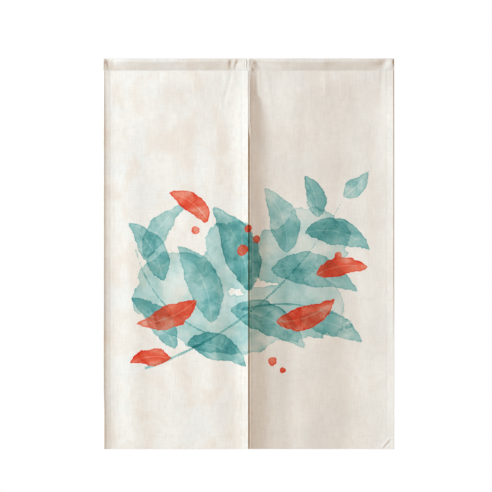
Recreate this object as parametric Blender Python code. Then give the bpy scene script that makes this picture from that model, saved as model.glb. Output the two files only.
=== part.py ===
"""A split door curtain as it hangs: two cloth panels, their rod pocket and the joining strip.

Units are metres, with +Z up. The origin is the middle of the curtain's top edge, the rod
line. The curtain hangs down -Z, its face looks along -Y, and +X is to the right as seen.
"""

import math
from collections import namedtuple

import bmesh
import bpy
from mathutils import Vector

# Driving sizes of the whole curtain
WIDTH = 0.850
DROP = 1.142
GAP = 0.0003

# Cloth and its turned hems, which lie on the back
CLOTH = 0.0012
HEM_CLOTH = 0.0020
SIDE_HEM = 0.023
SLIT_HEM = 0.020
FOOT_HEM = 0.038
HEM_STEP = 0.0025

# Rod pocket: a round top for the rod, drawn in to its line of stitches
POCKET_HEIGHT = 0.035
POCKET_RADIUS = 0.0092
POCKET_CLOTH = 0.0010
SEAM_RADIUS = 0.0016
ARC_STEPS = 6
FLAT_STEPS = 3
SEAM_STEPS = 2

# The slit: the left panel's edge laps over the right panel's, a step above it
SLIT = -0.0019
LAP = 0.0040
LAP_STEP = 0.0030

# Joining strip over the head of the slit
JOIN_DROP = 0.208
JOIN_TAPER = 0.030
JOIN_TIP = 0.0026
JOIN_RIGHT = 0.0044
JOIN_LOOP_RIGHT = 0.0090
JOIN_CLOTH = 0.0011
JOIN_RECESS = 0.0004
JOIN_TILT = 0.0010
LOOP_GAP = 0.0007
HEM_LEAN = 0.0008
JOIN_OVERLAP = 0.0012

# The ridge that the two panels make where they meet, and how it grows down the slit
CREST_TOP = 0.0065
CREST_LOW = 0.0150
CREST_FOOT = 0.0180
CREST_RUN = 0.170
FIELD_LIFT = 0.0140
FIELD_HANG = 0.300
RIM_AT_TOP = 0.70
RIM_CURVE = 2.5
FOLD_EASE = 0.30
FOLD_GROWTH = 0.06
DRAW_IN_CURVE = 8.0

# Where the mesh is finer: beside the slit, and along the gathered stretches of the pocket
FLANK_REACH = 0.066
LEFT_END_GATHERS = -0.399
LEFT_SLIT_GATHERS = -0.068
RIGHT_SLIT_GATHERS = 0.058
RIGHT_END_GATHERS = 0.374

PANEL_DROP = DROP - POCKET_HEIGHT - GAP

Panel = namedtuple(
    "Panel",
    "name side lap step flat flank_top flank_low rise_top rise_low softness"
    " field_power rim_width rim_lift draw_in folds bulge",
)
Fold = namedtuple("Fold", "across lean half_width lift start")
Bulge = namedtuple("Bulge", "across half_width lift fade")
Gather = namedtuple("Gather", "middle half_width depth")
Span = namedtuple("Span", "end steps")

LEFT = Panel(
    name="left_panel",
    side=-1,
    lap=0.0,
    step=0.0,
    flat=0.0,
    flank_top=0.026,
    flank_low=0.038,
    rise_top=0.0034,
    rise_low=0.0075,
    softness=0.40,
    field_power=1.1,
    rim_width=0.040,
    rim_lift=0.0055,
    draw_in=0.0046,
    folds=(
        Fold(across=0.110, lean=-0.020, half_width=0.036, lift=0.0020, start=0.05),
        Fold(across=0.240, lean=0.015, half_width=0.048, lift=-0.0016, start=0.20),
        Fold(across=0.345, lean=-0.012, half_width=0.032, lift=0.0018, start=0.10),
    ),
    bulge=Bulge(across=0.245, half_width=0.110, lift=0.0105, fade=0.10),
)
RIGHT = Panel(
    name="right_panel",
    side=1,
    lap=LAP,
    step=LAP_STEP,
    flat=0.0050,
    flank_top=0.018,
    flank_low=0.051,
    rise_top=0.0032,
    rise_low=0.0150,
    softness=0.30,
    field_power=1.7,
    rim_width=0.120,
    rim_lift=0.0100,
    draw_in=0.0010,
    folds=(
        Fold(across=0.105, lean=0.018, half_width=0.030, lift=-0.0012, start=0.15),
        Fold(across=0.215, lean=-0.016, half_width=0.050, lift=0.0012, start=0.05),
        Fold(across=0.330, lean=0.020, half_width=0.036, lift=0.0008, start=0.25),
    ),
    bulge=Bulge(across=0.196, half_width=0.078, lift=0.0080, fade=0.10),
)

# Gathers pressed into the pocket's face: the place along X, and how far each sinks or stands
LEFT_GATHERS = (
    Gather(middle=-0.4090, half_width=0.0095, depth=0.0034),
    Gather(middle=-0.0500, half_width=0.0070, depth=0.0024),
    Gather(middle=-0.0330, half_width=0.0070, depth=0.0028),
    Gather(middle=-0.0042, half_width=0.0020, depth=0.0012),
)
RIGHT_GATHERS = (
    Gather(middle=0.0300, half_width=0.0140, depth=0.0034),
    Gather(middle=0.2200, half_width=0.0160, depth=-0.0008),
    Gather(middle=0.3960, half_width=0.0160, depth=0.0032),
    Gather(middle=0.4200, half_width=0.0045, depth=0.0022),
)

LINEN = (0.84, 0.80, 0.74, 1.0)
LINEN_SHADE = (0.78, 0.74, 0.68, 1.0)
LINEN_ROUGHNESS = 0.92


def clear_scene():
    """Remove every object that the file starts with."""
    for thing in list(bpy.data.objects):
        bpy.data.objects.remove(thing, do_unlink=True)


def cloth_material(name, colour):
    """A matt cloth with no metal in it."""
    material = bpy.data.materials.new(name)
    material.use_nodes = True
    shader = material.node_tree.nodes["Principled BSDF"]
    shader.inputs["Base Color"].default_value = colour
    shader.inputs["Roughness"].default_value = LINEN_ROUGHNESS
    shader.inputs["Metallic"].default_value = 0.0
    return material


def ease(value):
    """Rise smoothly from 0 to 1."""
    held = min(max(value, 0.0), 1.0)
    return held * held * (3.0 - 2.0 * held)


def soft_ramp(value, softness):
    """The value where it is positive and 0 below, with a rounded corner between."""
    return 0.5 * (value + math.hypot(value, softness))


def stations(spans, start=0.0):
    """Places along a line, from start, with even steps inside each span."""
    places = [start]
    for span in spans:
        begin = places[-1]
        places += [begin + (span.end - begin) * step / span.steps for step in range(1, span.steps + 1)]
    return places


def crest(drop):
    """How far the slit's edges stand forward of the flat cloth beside them."""
    shoulder = (CREST_LOW - CREST_TOP) * ease(drop / CREST_RUN)
    foot = (CREST_FOOT - CREST_LOW) * ease((drop - CREST_RUN) / (PANEL_DROP - CREST_RUN))
    return CREST_TOP + shoulder + foot


def field_lift(drop):
    """How far the whole field leans forward to the slit."""
    return FIELD_LIFT * (1.0 - math.exp(-drop / FIELD_HANG))


def panel_width(panel):
    """From the slit line to the panel's outer edge."""
    return WIDTH / 2 - panel.side * SLIT


def forward(panel, across, drop):
    """How far the cloth's face stands forward, across metres out from the slit line."""
    if across < 0.0:
        return forward(LEFT, -across, drop) - LAP_STEP
    width = panel_width(panel)
    grown = ease(drop / CREST_RUN)
    flank = panel.flank_top + (panel.flank_low - panel.flank_top) * grown
    rise = panel.rise_top + (panel.rise_low - panel.rise_top) * grown
    beyond = max(across - panel.flat, 0.0)
    level, lip, tail = (
        soft_ramp(value, panel.softness) for value in (1.0 - beyond / flank, 1.0, 1.0 - width / flank)
    )
    stand = rise * (level - tail) / (lip - tail)
    field = crest(drop) + field_lift(drop) - panel.step - rise
    stand += field * max(1.0 - across / width, 0.0) ** panel.field_power
    rim = max(1.0 - (width - across) / panel.rim_width, 0.0)
    stand += panel.rim_lift * rim**RIM_CURVE * (RIM_AT_TOP + (1.0 - RIM_AT_TOP) * grown)
    bulge = panel.bulge
    swell = math.exp(-(((across - bulge.across) / bulge.half_width) ** 2) - drop / bulge.fade)
    stand += bulge.lift * swell * ease(drop / FOLD_GROWTH)
    for fold in panel.folds:
        middle = fold.across + fold.lean * drop / PANEL_DROP
        shape = math.exp(-(((across - middle) / fold.half_width) ** 2))
        stand += fold.lift * shape * ease((drop - fold.start) / FOLD_EASE)
    return stand


def finish_object(name, shape, material):
    """Put a finished bmesh in the scene under its own name."""
    mesh = bpy.data.meshes.new(name)
    shape.to_mesh(mesh)
    shape.free()
    mesh.materials.append(material)
    mesh.shade_smooth()
    thing = bpy.data.objects.new(name, mesh)
    bpy.context.scene.collection.objects.link(thing)
    return thing


def thicken(thing, thickness, hem_group=None, thin_share=1.0):
    """Give a sheet its cloth, on the side away from its face."""
    modifier = thing.modifiers.new("Cloth", "SOLIDIFY")
    modifier.thickness = thickness
    modifier.offset = -1.0
    if hem_group:
        modifier.vertex_group = hem_group
        modifier.thickness_vertex_group = thin_share
    return modifier


def grid(columns, rows):
    """A sheet of len(columns) by len(rows) points, still flat: a bmesh and its placed points."""
    shape = bmesh.new()
    across_steps = len(columns) - 1
    down_steps = len(rows) - 1
    bmesh.ops.create_grid(shape, x_segments=across_steps, y_segments=down_steps, size=0.5)
    placed = []
    for vert in shape.verts:
        column = round((vert.co.x + 0.5) * across_steps)
        row = round((0.5 - vert.co.y) * down_steps)
        placed.append((vert, columns[column], rows[row]))
    return shape, placed


def build_panel(panel, material):
    """One panel: a hung sheet whose hems are thicker, on its back."""
    width = panel_width(panel)
    lap_steps = 2 if panel.lap else 1
    columns = stations(
        (
            Span(SLIT_HEM - panel.lap, 2 + lap_steps),
            Span(SLIT_HEM - panel.lap + HEM_STEP, 1),
            Span(FLANK_REACH, 5),
            Span(width - SIDE_HEM - HEM_STEP, 10),
            Span(width - SIDE_HEM, 1),
            Span(width, 3),
        )
    )
    if panel.lap:
        columns.insert(0, -panel.lap)
    rows = stations(
        (
            Span(CREST_RUN, 7),
            Span(PANEL_DROP - FOOT_HEM - HEM_STEP, 17),
            Span(PANEL_DROP - FOOT_HEM, 1),
            Span(PANEL_DROP, 4),
        )
    )
    if panel.side < 0:
        columns.reverse()
    shape, placed = grid(columns, rows)
    hem_numbers = []
    shape.verts.index_update()
    for vert, across, drop in placed:
        drawn_in = panel.draw_in * (drop / PANEL_DROP) ** DRAW_IN_CURVE * max(across, 0.0) / width
        x = SLIT + panel.side * (across - drawn_in)
        vert.co = Vector((x, -forward(panel, across, drop), -POCKET_HEIGHT - GAP - drop))
        in_side_hem = across <= SLIT_HEM - panel.lap or across >= width - SIDE_HEM
        if in_side_hem or drop >= PANEL_DROP - FOOT_HEM:
            hem_numbers.append(vert.index)
    thing = finish_object(panel.name, shape, material)
    group = thing.vertex_groups.new(name="hems")
    group.add(hem_numbers, 1.0, "REPLACE")
    thicken(thing, HEM_CLOTH, group.name, CLOTH / HEM_CLOTH)
    return thing


def pocket_section():
    """The pocket's outer section, (y, z) points round from its face: two arcs and two flats."""
    reach = POCKET_HEIGHT - SEAM_RADIUS - POCKET_RADIUS
    lean = math.asin((POCKET_RADIUS - SEAM_RADIUS) / reach)
    rod_height = -POCKET_RADIUS
    seam_height = SEAM_RADIUS - POCKET_HEIGHT

    def on_arc(radius, height, angle):
        return radius * math.cos(angle), height + radius * math.sin(angle)

    over = [-lean + (math.pi + 2 * lean) * step / ARC_STEPS for step in range(ARC_STEPS + 1)]
    under = [math.pi + lean + (math.pi - 2 * lean) * step / SEAM_STEPS for step in range(SEAM_STEPS + 1)]
    top = [on_arc(POCKET_RADIUS, rod_height, angle) for angle in over]
    seam = [on_arc(SEAM_RADIUS, seam_height, angle) for angle in under]

    def flat(begin, end):
        shares = [step / FLAT_STEPS for step in range(1, FLAT_STEPS)]
        return [(begin[0] + (end[0] - begin[0]) * s, begin[1] + (end[1] - begin[1]) * s) for s in shares]

    return top + flat(top[-1], seam[0]) + seam + flat(seam[-1], top[0])


def drape_pocket(point, seam_forward, gathers):
    """Move a point of the straight pocket to where the gathered cloth hangs."""
    below_rod = (-point.z - POCKET_RADIUS) / (POCKET_HEIGHT - POCKET_RADIUS)
    shift = seam_forward(point.x) * max(below_rod, 0.0)
    faces_front = max(-point.y / POCKET_RADIUS, 0.0)
    sunk = sum(g.depth * math.exp(-(((point.x - g.middle) / g.half_width) ** 2)) for g in gathers)
    return Vector((point.x, point.y - shift + sunk * faces_front, point.z))


def pocket_tube(places, seam_forward, gathers):
    """An open tube of the pocket's section along X, one ring at each place."""
    section = pocket_section()
    shape = bmesh.new()
    ring = bmesh.ops.create_circle(shape, segments=len(section), radius=1.0)["verts"]
    for vert, (y, z) in zip(ring, section):
        vert.co = Vector((places[0], y, z))
    edges = list(shape.edges)
    for begin, end in zip(places, places[1:]):
        made = bmesh.ops.extrude_edge_only(shape, edges=edges)["geom"]
        new_verts = [part for part in made if isinstance(part, bmesh.types.BMVert)]
        edges = [
            part
            for part in made
            if isinstance(part, bmesh.types.BMEdge) and all(vert in new_verts for vert in part.verts)
        ]
        bmesh.ops.translate(shape, verts=new_verts, vec=(end - begin, 0.0, 0.0))
    for vert in shape.verts:
        vert.co = drape_pocket(vert.co, seam_forward, gathers)
    bmesh.ops.recalc_face_normals(shape, faces=shape.faces)
    faces_up = max(shape.faces, key=lambda face: face.calc_center_median().z)
    if faces_up.normal.z < 0:
        bmesh.ops.reverse_faces(shape, faces=shape.faces)
    return shape


def build_heading(name, panel, places, gathers, material):
    """One half of the rod pocket, its seam standing forward with the panel under it."""

    def seam_forward(x):
        return forward(panel, max(panel.side * (x - SLIT), 0.0), 0.0) + CLOTH / 2 - SEAM_RADIUS

    shape = pocket_tube(places, seam_forward, gathers)
    thing = finish_object(name, shape, material)
    thicken(thing, POCKET_CLOTH)
    return thing


def build_join_strip(material):
    """The strip that joins the panels: a loop over the rod and a narrow tongue below it."""
    seam_stand = CREST_TOP - JOIN_RECESS + JOIN_CLOTH / 2 - SEAM_RADIUS
    loop_places = stations((Span(JOIN_RIGHT, 1), Span(JOIN_LOOP_RIGHT, 1)), start=SLIT + LOOP_GAP)
    loop = finish_object("join_loop_shape", pocket_tube(loop_places, lambda x: seam_stand, ()), material)
    thicken(loop, POCKET_CLOTH)
    loop.hide_render = True
    loop.display_type = "WIRE"

    tongue_drop = JOIN_DROP - POCKET_HEIGHT
    rows = stations((Span(0.0, 1), Span(tongue_drop - JOIN_TAPER, 5), Span(tongue_drop, 4)), -JOIN_OVERLAP)
    left = SLIT + GAP + HEM_LEAN
    middle = (left + JOIN_RIGHT) / 2
    shape, placed = grid([0.0, 1.0], rows)
    for vert, side, drop in placed:
        taper = ease((drop - tongue_drop + JOIN_TAPER) / JOIN_TAPER)
        half = (JOIN_RIGHT - left) / 2 * (1.0 - taper) + JOIN_TIP / 2 * taper
        stand = crest(max(drop, 0.0)) + field_lift(max(drop, 0.0)) - JOIN_RECESS - JOIN_TILT * side
        vert.co = Vector((middle + (2 * side - 1) * half, -stand, -POCKET_HEIGHT - drop))
    strip = finish_object("join_strip", shape, material)
    thicken(strip, JOIN_CLOTH)
    union = strip.modifiers.new("Loop", "BOOLEAN")
    union.operation = "UNION"
    union.object = loop
    return strip


def main():
    """Build the curtain."""
    clear_scene()
    face = cloth_material("linen_cloth", LINEN)
    shade = cloth_material("joining_cloth", LINEN_SHADE)
    build_panel(LEFT, face)
    build_panel(RIGHT, face)
    left_places = stations(
        (Span(LEFT_END_GATHERS, 6), Span(LEFT_SLIT_GATHERS, 12), Span(SLIT, 14)),
        start=-WIDTH / 2,
    )
    right_places = stations(
        (Span(RIGHT_SLIT_GATHERS, 9), Span(RIGHT_END_GATHERS, 11), Span(WIDTH / 2, 11)),
        start=JOIN_LOOP_RIGHT + LOOP_GAP,
    )
    build_heading("left_heading", LEFT, left_places, LEFT_GATHERS, face)
    build_heading("right_heading", RIGHT, right_places, RIGHT_GATHERS, face)
    build_join_strip(shade)


main()
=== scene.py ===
"""The looks of a split door curtain: printed linen cloth, its rod pocket, strip and stitching.

Everything is in metres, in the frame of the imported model: the origin is the middle of the
top edge, the curtain hangs down -Z and its printed face looks along -Y.
"""

from __future__ import annotations

import logging
import math
from dataclasses import dataclass, field
from enum import Enum
from functools import reduce
from typing import Sequence

import bmesh
import bpy
import numpy as np
from mathutils import Matrix, Vector, noise


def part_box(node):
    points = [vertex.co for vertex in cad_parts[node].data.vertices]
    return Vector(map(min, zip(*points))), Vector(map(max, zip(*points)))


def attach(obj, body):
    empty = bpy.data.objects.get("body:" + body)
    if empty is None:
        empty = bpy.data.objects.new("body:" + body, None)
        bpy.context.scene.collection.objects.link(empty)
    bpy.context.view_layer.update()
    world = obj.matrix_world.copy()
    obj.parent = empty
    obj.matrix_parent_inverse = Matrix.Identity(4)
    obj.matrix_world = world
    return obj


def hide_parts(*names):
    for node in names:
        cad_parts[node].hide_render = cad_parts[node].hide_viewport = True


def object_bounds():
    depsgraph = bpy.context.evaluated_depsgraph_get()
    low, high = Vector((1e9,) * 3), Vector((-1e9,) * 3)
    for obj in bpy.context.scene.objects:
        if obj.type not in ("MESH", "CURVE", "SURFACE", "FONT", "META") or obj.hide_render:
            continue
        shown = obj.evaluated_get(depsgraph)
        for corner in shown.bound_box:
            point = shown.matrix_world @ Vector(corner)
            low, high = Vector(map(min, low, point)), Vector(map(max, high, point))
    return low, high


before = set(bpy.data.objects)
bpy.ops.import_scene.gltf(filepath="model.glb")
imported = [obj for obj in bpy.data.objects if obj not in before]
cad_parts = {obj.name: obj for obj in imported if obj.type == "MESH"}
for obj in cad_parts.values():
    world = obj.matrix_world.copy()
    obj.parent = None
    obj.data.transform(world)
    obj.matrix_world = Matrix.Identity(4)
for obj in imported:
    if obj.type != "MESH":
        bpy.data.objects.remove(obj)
cad_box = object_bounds()

logging.basicConfig(level=logging.INFO, format="%(message)s")
log = logging.getLogger("door_curtain")

BODY = "root"

# Sizes read from the frame
CURTAIN_LOW, CURTAIN_HIGH = cad_box
PANEL_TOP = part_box("left_panel")[1].z
PANEL_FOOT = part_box("left_panel")[0].z
PANEL_DROP = PANEL_TOP - PANEL_FOOT
POCKET_HEIGHT = -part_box("left_heading")[0].z
STRIP_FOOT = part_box("join_strip")[0].z

# Sizes that the cloth shares with its solids
WIDTH = 0.850
SLIT = -0.0019
LAP = 0.0040
LAP_STEP = 0.0030
SIDE_HEM = 0.023
SLIT_HEM = 0.020
FOOT_HEM = 0.038
POCKET_RADIUS = 0.0092
POCKET_CLOTH = 0.0010
STRIP_LEFT = SLIT + 0.0011
STRIP_RIGHT = 0.0044
STRIP_LOOP_LEFT = SLIT + 0.0007
STRIP_LOOP_RIGHT = 0.0090
STRIP_TAPER = 0.030
STRIP_TIP = 0.0026

# The fine cloth's own sizes
CLOTH = 0.0011
HEM_CLOTH = 0.0019
HEM_STEP = 0.0014
SEAM_RADIUS = 0.0012
STRIP_CLOTH = 0.0008
STRIP_RECESS = 0.0003
STRIP_TILT = 0.0004
STRIP_LENGTH = PANEL_TOP - STRIP_FOOT
RIGHT_HEADING_START = STRIP_LOOP_RIGHT + 0.0004

Field = np.ndarray
Point = tuple[float, float]
Colour = tuple[float, float, float]
Socket = bpy.types.NodeSocket


class Side(Enum):
    """Which way a panel runs from the slit."""

    LEFT = -1
    RIGHT = 1


class Wash(Enum):
    """A layer of the print: leaves in one layer never touch each other."""

    FIRST = "first"
    SECOND = "second"
    THIRD = "third"
    ACCENT = "accent"


def ease(value: Field | float) -> Field:
    """Rise smoothly from 0 to 1."""
    held = np.clip(value, 0.0, 1.0)
    return held * held * (3.0 - 2.0 * held)


def bump_at(value: Field, half_width: Field | float) -> Field:
    """A bell of height 1 round zero."""
    return np.exp(-((value / half_width) ** 2))


def soft_ramp(value: Field, softness: Field | float) -> Field:
    """The value where it is positive and 0 below, with a rounded corner between."""
    return 0.5 * (value + np.hypot(value, softness))


@dataclass(frozen=True)
class Ripple:
    """Smooth unevenness of the cloth: the size of its cells, its height and its own seed."""

    across: float
    drop: float
    lift: float
    seed: float = 0.0

    def lift_at(self, across: Field, drop: Field, seed: float) -> Field:
        """How far the unevenness moves the cloth.

        Args:
            across: Places across the cloth.
            drop: Places down it.
            seed: The piece's seed, so that no two pieces are alike.

        Returns:
            The height at each place, either way from zero.
        """
        level = seed + self.seed
        cells = zip(across / self.across, drop / self.drop)
        return self.lift * np.array([noise.noise(Vector((float(x), float(y), level))) for x, y in cells])


@dataclass(frozen=True)
class Span:
    """A stretch of evenly spaced mesh stations, up to end."""

    end: float
    pitch: float


def stations(spans: Sequence[Span], start: float = 0.0) -> list[float]:
    """Places along a line with about one pitch between them in each span.

    Args:
        spans: The stretches, in order.
        start: The first place.

    Returns:
        Every place, first and last included.
    """
    places = [start]
    for span in spans:
        begin = places[-1]
        steps = max(1, round(abs(span.end - begin) / span.pitch))
        places += [begin + (span.end - begin) * step / steps for step in range(1, steps + 1)]
    return places


@dataclass(frozen=True)
class Fold:
    """A long soft fold that runs down a panel."""

    across: float
    lean: float
    half_width: float
    lift: float
    start: float

    GROWTH = 0.30

    def lift_at(self, across: Field, drop: Field) -> Field:
        """How far this fold alone moves the face forward."""
        aside = across - self.across - self.lean * drop / PANEL_DROP
        return self.lift * bump_at(aside, self.half_width) * ease((drop - self.start) / self.GROWTH)


@dataclass(frozen=True)
class Bulge:
    """A wide soft swelling just under the rod pocket, which dies away down the panel."""

    across: float
    half_width: float
    lift: float
    fade: float

    def lift_at(self, across: Field, drop: Field) -> Field:
        """How far this bulge alone moves the face forward."""
        shape = bump_at(across - self.across, self.half_width) * np.exp(-np.asarray(drop) / self.fade)
        return self.lift * shape * ease(np.asarray(drop) / DRAPE.bulge_growth)


@dataclass(frozen=True)
class Crease:
    """A short soft crease between two points of a panel: across and drop at each end."""

    begin: Point
    end: Point
    half_width: float
    lift: float

    END_SHARE = 0.3

    def lift_at(self, across: Field, drop: Field) -> Field:
        """How far this crease alone moves the face forward.

        Args:
            across: Distances out from the slit line.
            drop: Depths below the panel's top edge.

        Returns:
            The height at each place, which dies away at the crease's ends.
        """
        run = np.array(self.end) - np.array(self.begin)
        length = float(np.hypot(*run))
        along_x, along_y = run / length
        right, down = across - self.begin[0], drop - self.begin[1]
        share = (right * along_x + down * along_y) / length
        aside = right * along_y - down * along_x
        ends = ease(share / self.END_SHARE) * ease((1.0 - share) / self.END_SHARE)
        return self.lift * bump_at(aside, self.half_width) * ends


@dataclass(frozen=True)
class Drape:
    """The forms that both panels share: the ridge at the slit, the leaning field and the outer rim.

    A run is the drop over which something grows, and sewn_share is the share of the step
    between the panels that is left where the strip is sewn to both.
    """

    crest_top: float = 0.0065
    crest_low: float = 0.0150
    crest_foot: float = 0.0180
    crest_run: float = 0.170
    field_reach: float = 0.0140
    field_hang: float = 0.300
    rim_at_top: float = 0.55
    rim_growth_low: float = 0.17
    rim_growth_start: float = 0.45
    rim_growth_run: float = 0.45
    rim_curve: float = 2.5
    bulge_growth: float = 0.06
    draw_in_start: float = 0.915
    draw_in_run: float = 0.090
    sewn_share: float = 0.36
    sewn_fade: float = 0.03

    def crest(self, drop: Field | float) -> Field:
        """How far the slit's edges stand forward of the cloth beside them.

        Args:
            drop: Depths below the panel's top edge.

        Returns:
            The ridge's height at those depths.
        """
        shoulder = (self.crest_low - self.crest_top) * ease(drop / self.crest_run)
        below = (drop - self.crest_run) / (PANEL_DROP - self.crest_run)
        return self.crest_top + shoulder + (self.crest_foot - self.crest_low) * ease(below)

    def field_lift(self, drop: Field | float) -> Field:
        """How far the whole field leans forward to the slit."""
        return self.field_reach * (1.0 - np.exp(-np.asarray(drop) / self.field_hang))

    def step_share(self, drop: Field | float) -> Field:
        """The share of the step between the panels: the strip's sewing holds them closer."""
        return self.sewn_share + (1.0 - self.sewn_share) * ease((drop - STRIP_LENGTH) / self.sewn_fade)

    def rim_growth(self, drop: Field) -> Field:
        """How the outer rim grows down the cloth, from its share at the top."""
        low = self.rim_growth_low * ease((drop - self.rim_growth_start) / self.rim_growth_run)
        return self.rim_at_top + (1.0 - self.rim_at_top) * ease(drop / self.crest_run) + low


DRAPE = Drape()


@dataclass(frozen=True)
class PanelCut:
    """One panel's own sizes, near its solid's, with the finer folds of the cloth.

    Each row of the flank is a drop, with the flank's width, its rise and how soft its foot is
    there. Each pair of the edge is a depth by which the outer edge turns back, and its reach.
    """

    name: str
    side: Side
    lap: float
    step: float
    flat: float
    flank: tuple[tuple[float, ...], ...]
    field_power: float
    rim_width: float
    rim_lift: float
    draw_in: float
    edge: tuple[Point, ...]
    edge_fade: float
    folds: tuple[Fold | Bulge, ...]
    creases: tuple[Crease, ...]
    seed: float

    @property
    def width(self) -> float:
        """From the slit line to the outer edge."""
        return WIDTH / 2 - self.side.value * SLIT

    def flank_at(self, drop: Field | float) -> tuple[Field, ...]:
        """The flank that rises to the slit.

        Args:
            drop: Depths below the panel's top edge.

        Returns:
            Its widths, its rises, and how soft its foot is, at those depths.
        """
        depths, *columns = zip(*self.flank)
        return tuple(np.interp(drop, depths, column) for column in columns)

    def main_form(self, across: Field, drop: Field) -> Field:
        """The panel's main shape: ridge, leaning field, rim and long folds.

        Args:
            across: Distances out from the slit line.
            drop: Depths below the panel's top edge.

        Returns:
            How far the face stands forward.
        """
        flank, rise, softness = self.flank_at(drop)
        beyond = np.maximum(across - self.flat, 0.0)
        level, lip, tail = (
            soft_ramp(value, softness) for value in (1.0 - beyond / flank, 1.0, 1.0 - self.width / flank)
        )
        step = self.step * DRAPE.step_share(drop)
        field_rise = DRAPE.crest(drop) + DRAPE.field_lift(drop) - step - rise
        stand = rise * (level - tail) / (lip - tail)
        stand = stand + field_rise * np.maximum(1.0 - across / self.width, 0.0) ** self.field_power
        rim = np.maximum(1.0 - (self.width - across) / self.rim_width, 0.0)
        stand = stand + self.rim_lift * rim**DRAPE.rim_curve * DRAPE.rim_growth(drop)
        for fold in self.folds:
            stand = stand + fold.lift_at(across, drop)
        return stand

    def drawn_in(self, across: Field, drop: Field) -> Field:
        """How far a place has moved towards the slit where the outer edge draws in."""
        share = np.maximum(across, 0.0) / self.width
        return self.draw_in * ease((drop - DRAPE.draw_in_start) / DRAPE.draw_in_run) * share


LEFT_CUT = PanelCut(
    name="left_panel",
    side=Side.LEFT,
    lap=0.0,
    step=0.0,
    flat=0.0,
    flank=((0.0, 0.026, 0.0034, 0.40), (0.17, 0.038, 0.0075, 0.40), (1.20, 0.036, 0.0078, 0.40)),
    field_power=1.1,
    rim_width=0.040,
    rim_lift=0.0055,
    draw_in=0.0017,
    edge=((-0.0015, 0.0085), (0.0017, 0.0028)),
    edge_fade=0.0,
    folds=(
        Fold(across=0.110, lean=-0.020, half_width=0.036, lift=0.0020, start=0.05),
        Fold(across=0.240, lean=0.015, half_width=0.048, lift=-0.0016, start=0.20),
        Fold(across=0.345, lean=-0.012, half_width=0.032, lift=0.0018, start=0.10),
        Bulge(across=0.245, half_width=0.110, lift=0.0105, fade=0.10),
    ),
    creases=(
        Crease(begin=(0.040, -0.02), end=(0.075, 0.11), half_width=0.006, lift=-0.0006),
        Crease(begin=(0.150, -0.02), end=(0.165, 0.07), half_width=0.007, lift=0.0004),
        Crease(begin=(0.262, -0.02), end=(0.250, 0.09), half_width=0.008, lift=-0.0004),
        Crease(begin=(0.385, 0.50), end=(0.335, 0.58), half_width=0.007, lift=0.0004),
        Crease(begin=(0.360, 1.02), end=(0.425, 0.96), half_width=0.007, lift=-0.0005),
    ),
    seed=3.7,
)
RIGHT_CUT = PanelCut(
    name="right_panel",
    side=Side.RIGHT,
    lap=LAP,
    step=LAP_STEP,
    flat=0.0050,
    flank=(
        (0.0, 0.018, 0.0032, 0.06),
        (0.070, 0.023, 0.0085, 0.12),
        (0.085, 0.032, 0.0106, 0.20),
        (0.140, 0.045, 0.0143, 0.40),
        (0.190, 0.051, 0.0153, 0.50),
        (1.20, 0.049, 0.0146, 0.42),
    ),
    field_power=1.7,
    rim_width=0.165,
    rim_lift=0.0152,
    draw_in=0.0005,
    edge=((0.0024, 0.0032),),
    edge_fade=0.90,
    folds=(
        Fold(across=0.105, lean=0.018, half_width=0.030, lift=-0.0012, start=0.15),
        Fold(across=0.215, lean=-0.016, half_width=0.050, lift=0.0008, start=0.05),
        Fold(across=0.350, lean=0.010, half_width=0.045, lift=0.0022, start=0.10),
        Bulge(across=0.196, half_width=0.078, lift=0.0094, fade=0.10),
    ),
    creases=(
        Crease(begin=(0.052, -0.02), end=(0.070, 0.12), half_width=0.007, lift=0.0005),
        Crease(begin=(0.223, -0.02), end=(0.228, 0.08), half_width=0.007, lift=0.0005),
        Crease(begin=(0.395, -0.02), end=(0.385, 0.10), half_width=0.008, lift=-0.0006),
        Crease(begin=(0.300, 0.86), end=(0.350, 0.95), half_width=0.008, lift=-0.0004),
        Crease(begin=(0.3880, 1.1065), end=(0.4160, 1.0725), half_width=0.0032, lift=0.0011),
        Crease(begin=(0.3940, 1.1090), end=(0.4200, 1.0780), half_width=0.0028, lift=-0.0009),
        Crease(begin=(0.4165, 1.1060), end=(0.4165, 1.0760), half_width=0.0022, lift=-0.0004),
    ),
    seed=9.1,
)


@dataclass(frozen=True)
class Gather:
    """A gather pressed into the pocket's face: how far it sinks, or stands if negative.

    The slant is how far its middle moves along for each step up, the lee is how wide its right
    flank is beside its left one, and at_top is the share of its depth left over the rod.
    """

    middle: float
    half_width: float
    depth: float
    slant: float = 0.0
    lee: float = 1.0
    at_top: float = 0.35

    TOP_RUN = 0.016

    def depth_at(self, x: Field, z: Field) -> Field:
        """How deep the gather is at places on the pocket.

        Args:
            x: How far along they are.
            z: How high they are, from the pocket's top.

        Returns:
            The depth at each place.
        """
        offset = x - self.middle - self.slant * (z + POCKET_HEIGHT / 2)
        flank = np.where(offset < 0.0, 1.0, self.lee) * self.half_width
        left_over = self.at_top + (1.0 - self.at_top) * ease(-z / self.TOP_RUN)
        return self.depth * bump_at(offset, flank) * left_over


@dataclass(frozen=True)
class HeadingCut:
    """One half of the rod pocket."""

    name: str
    cut: PanelCut
    start: float
    end: float
    gathers: tuple[Gather, ...]
    seed: float


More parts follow.
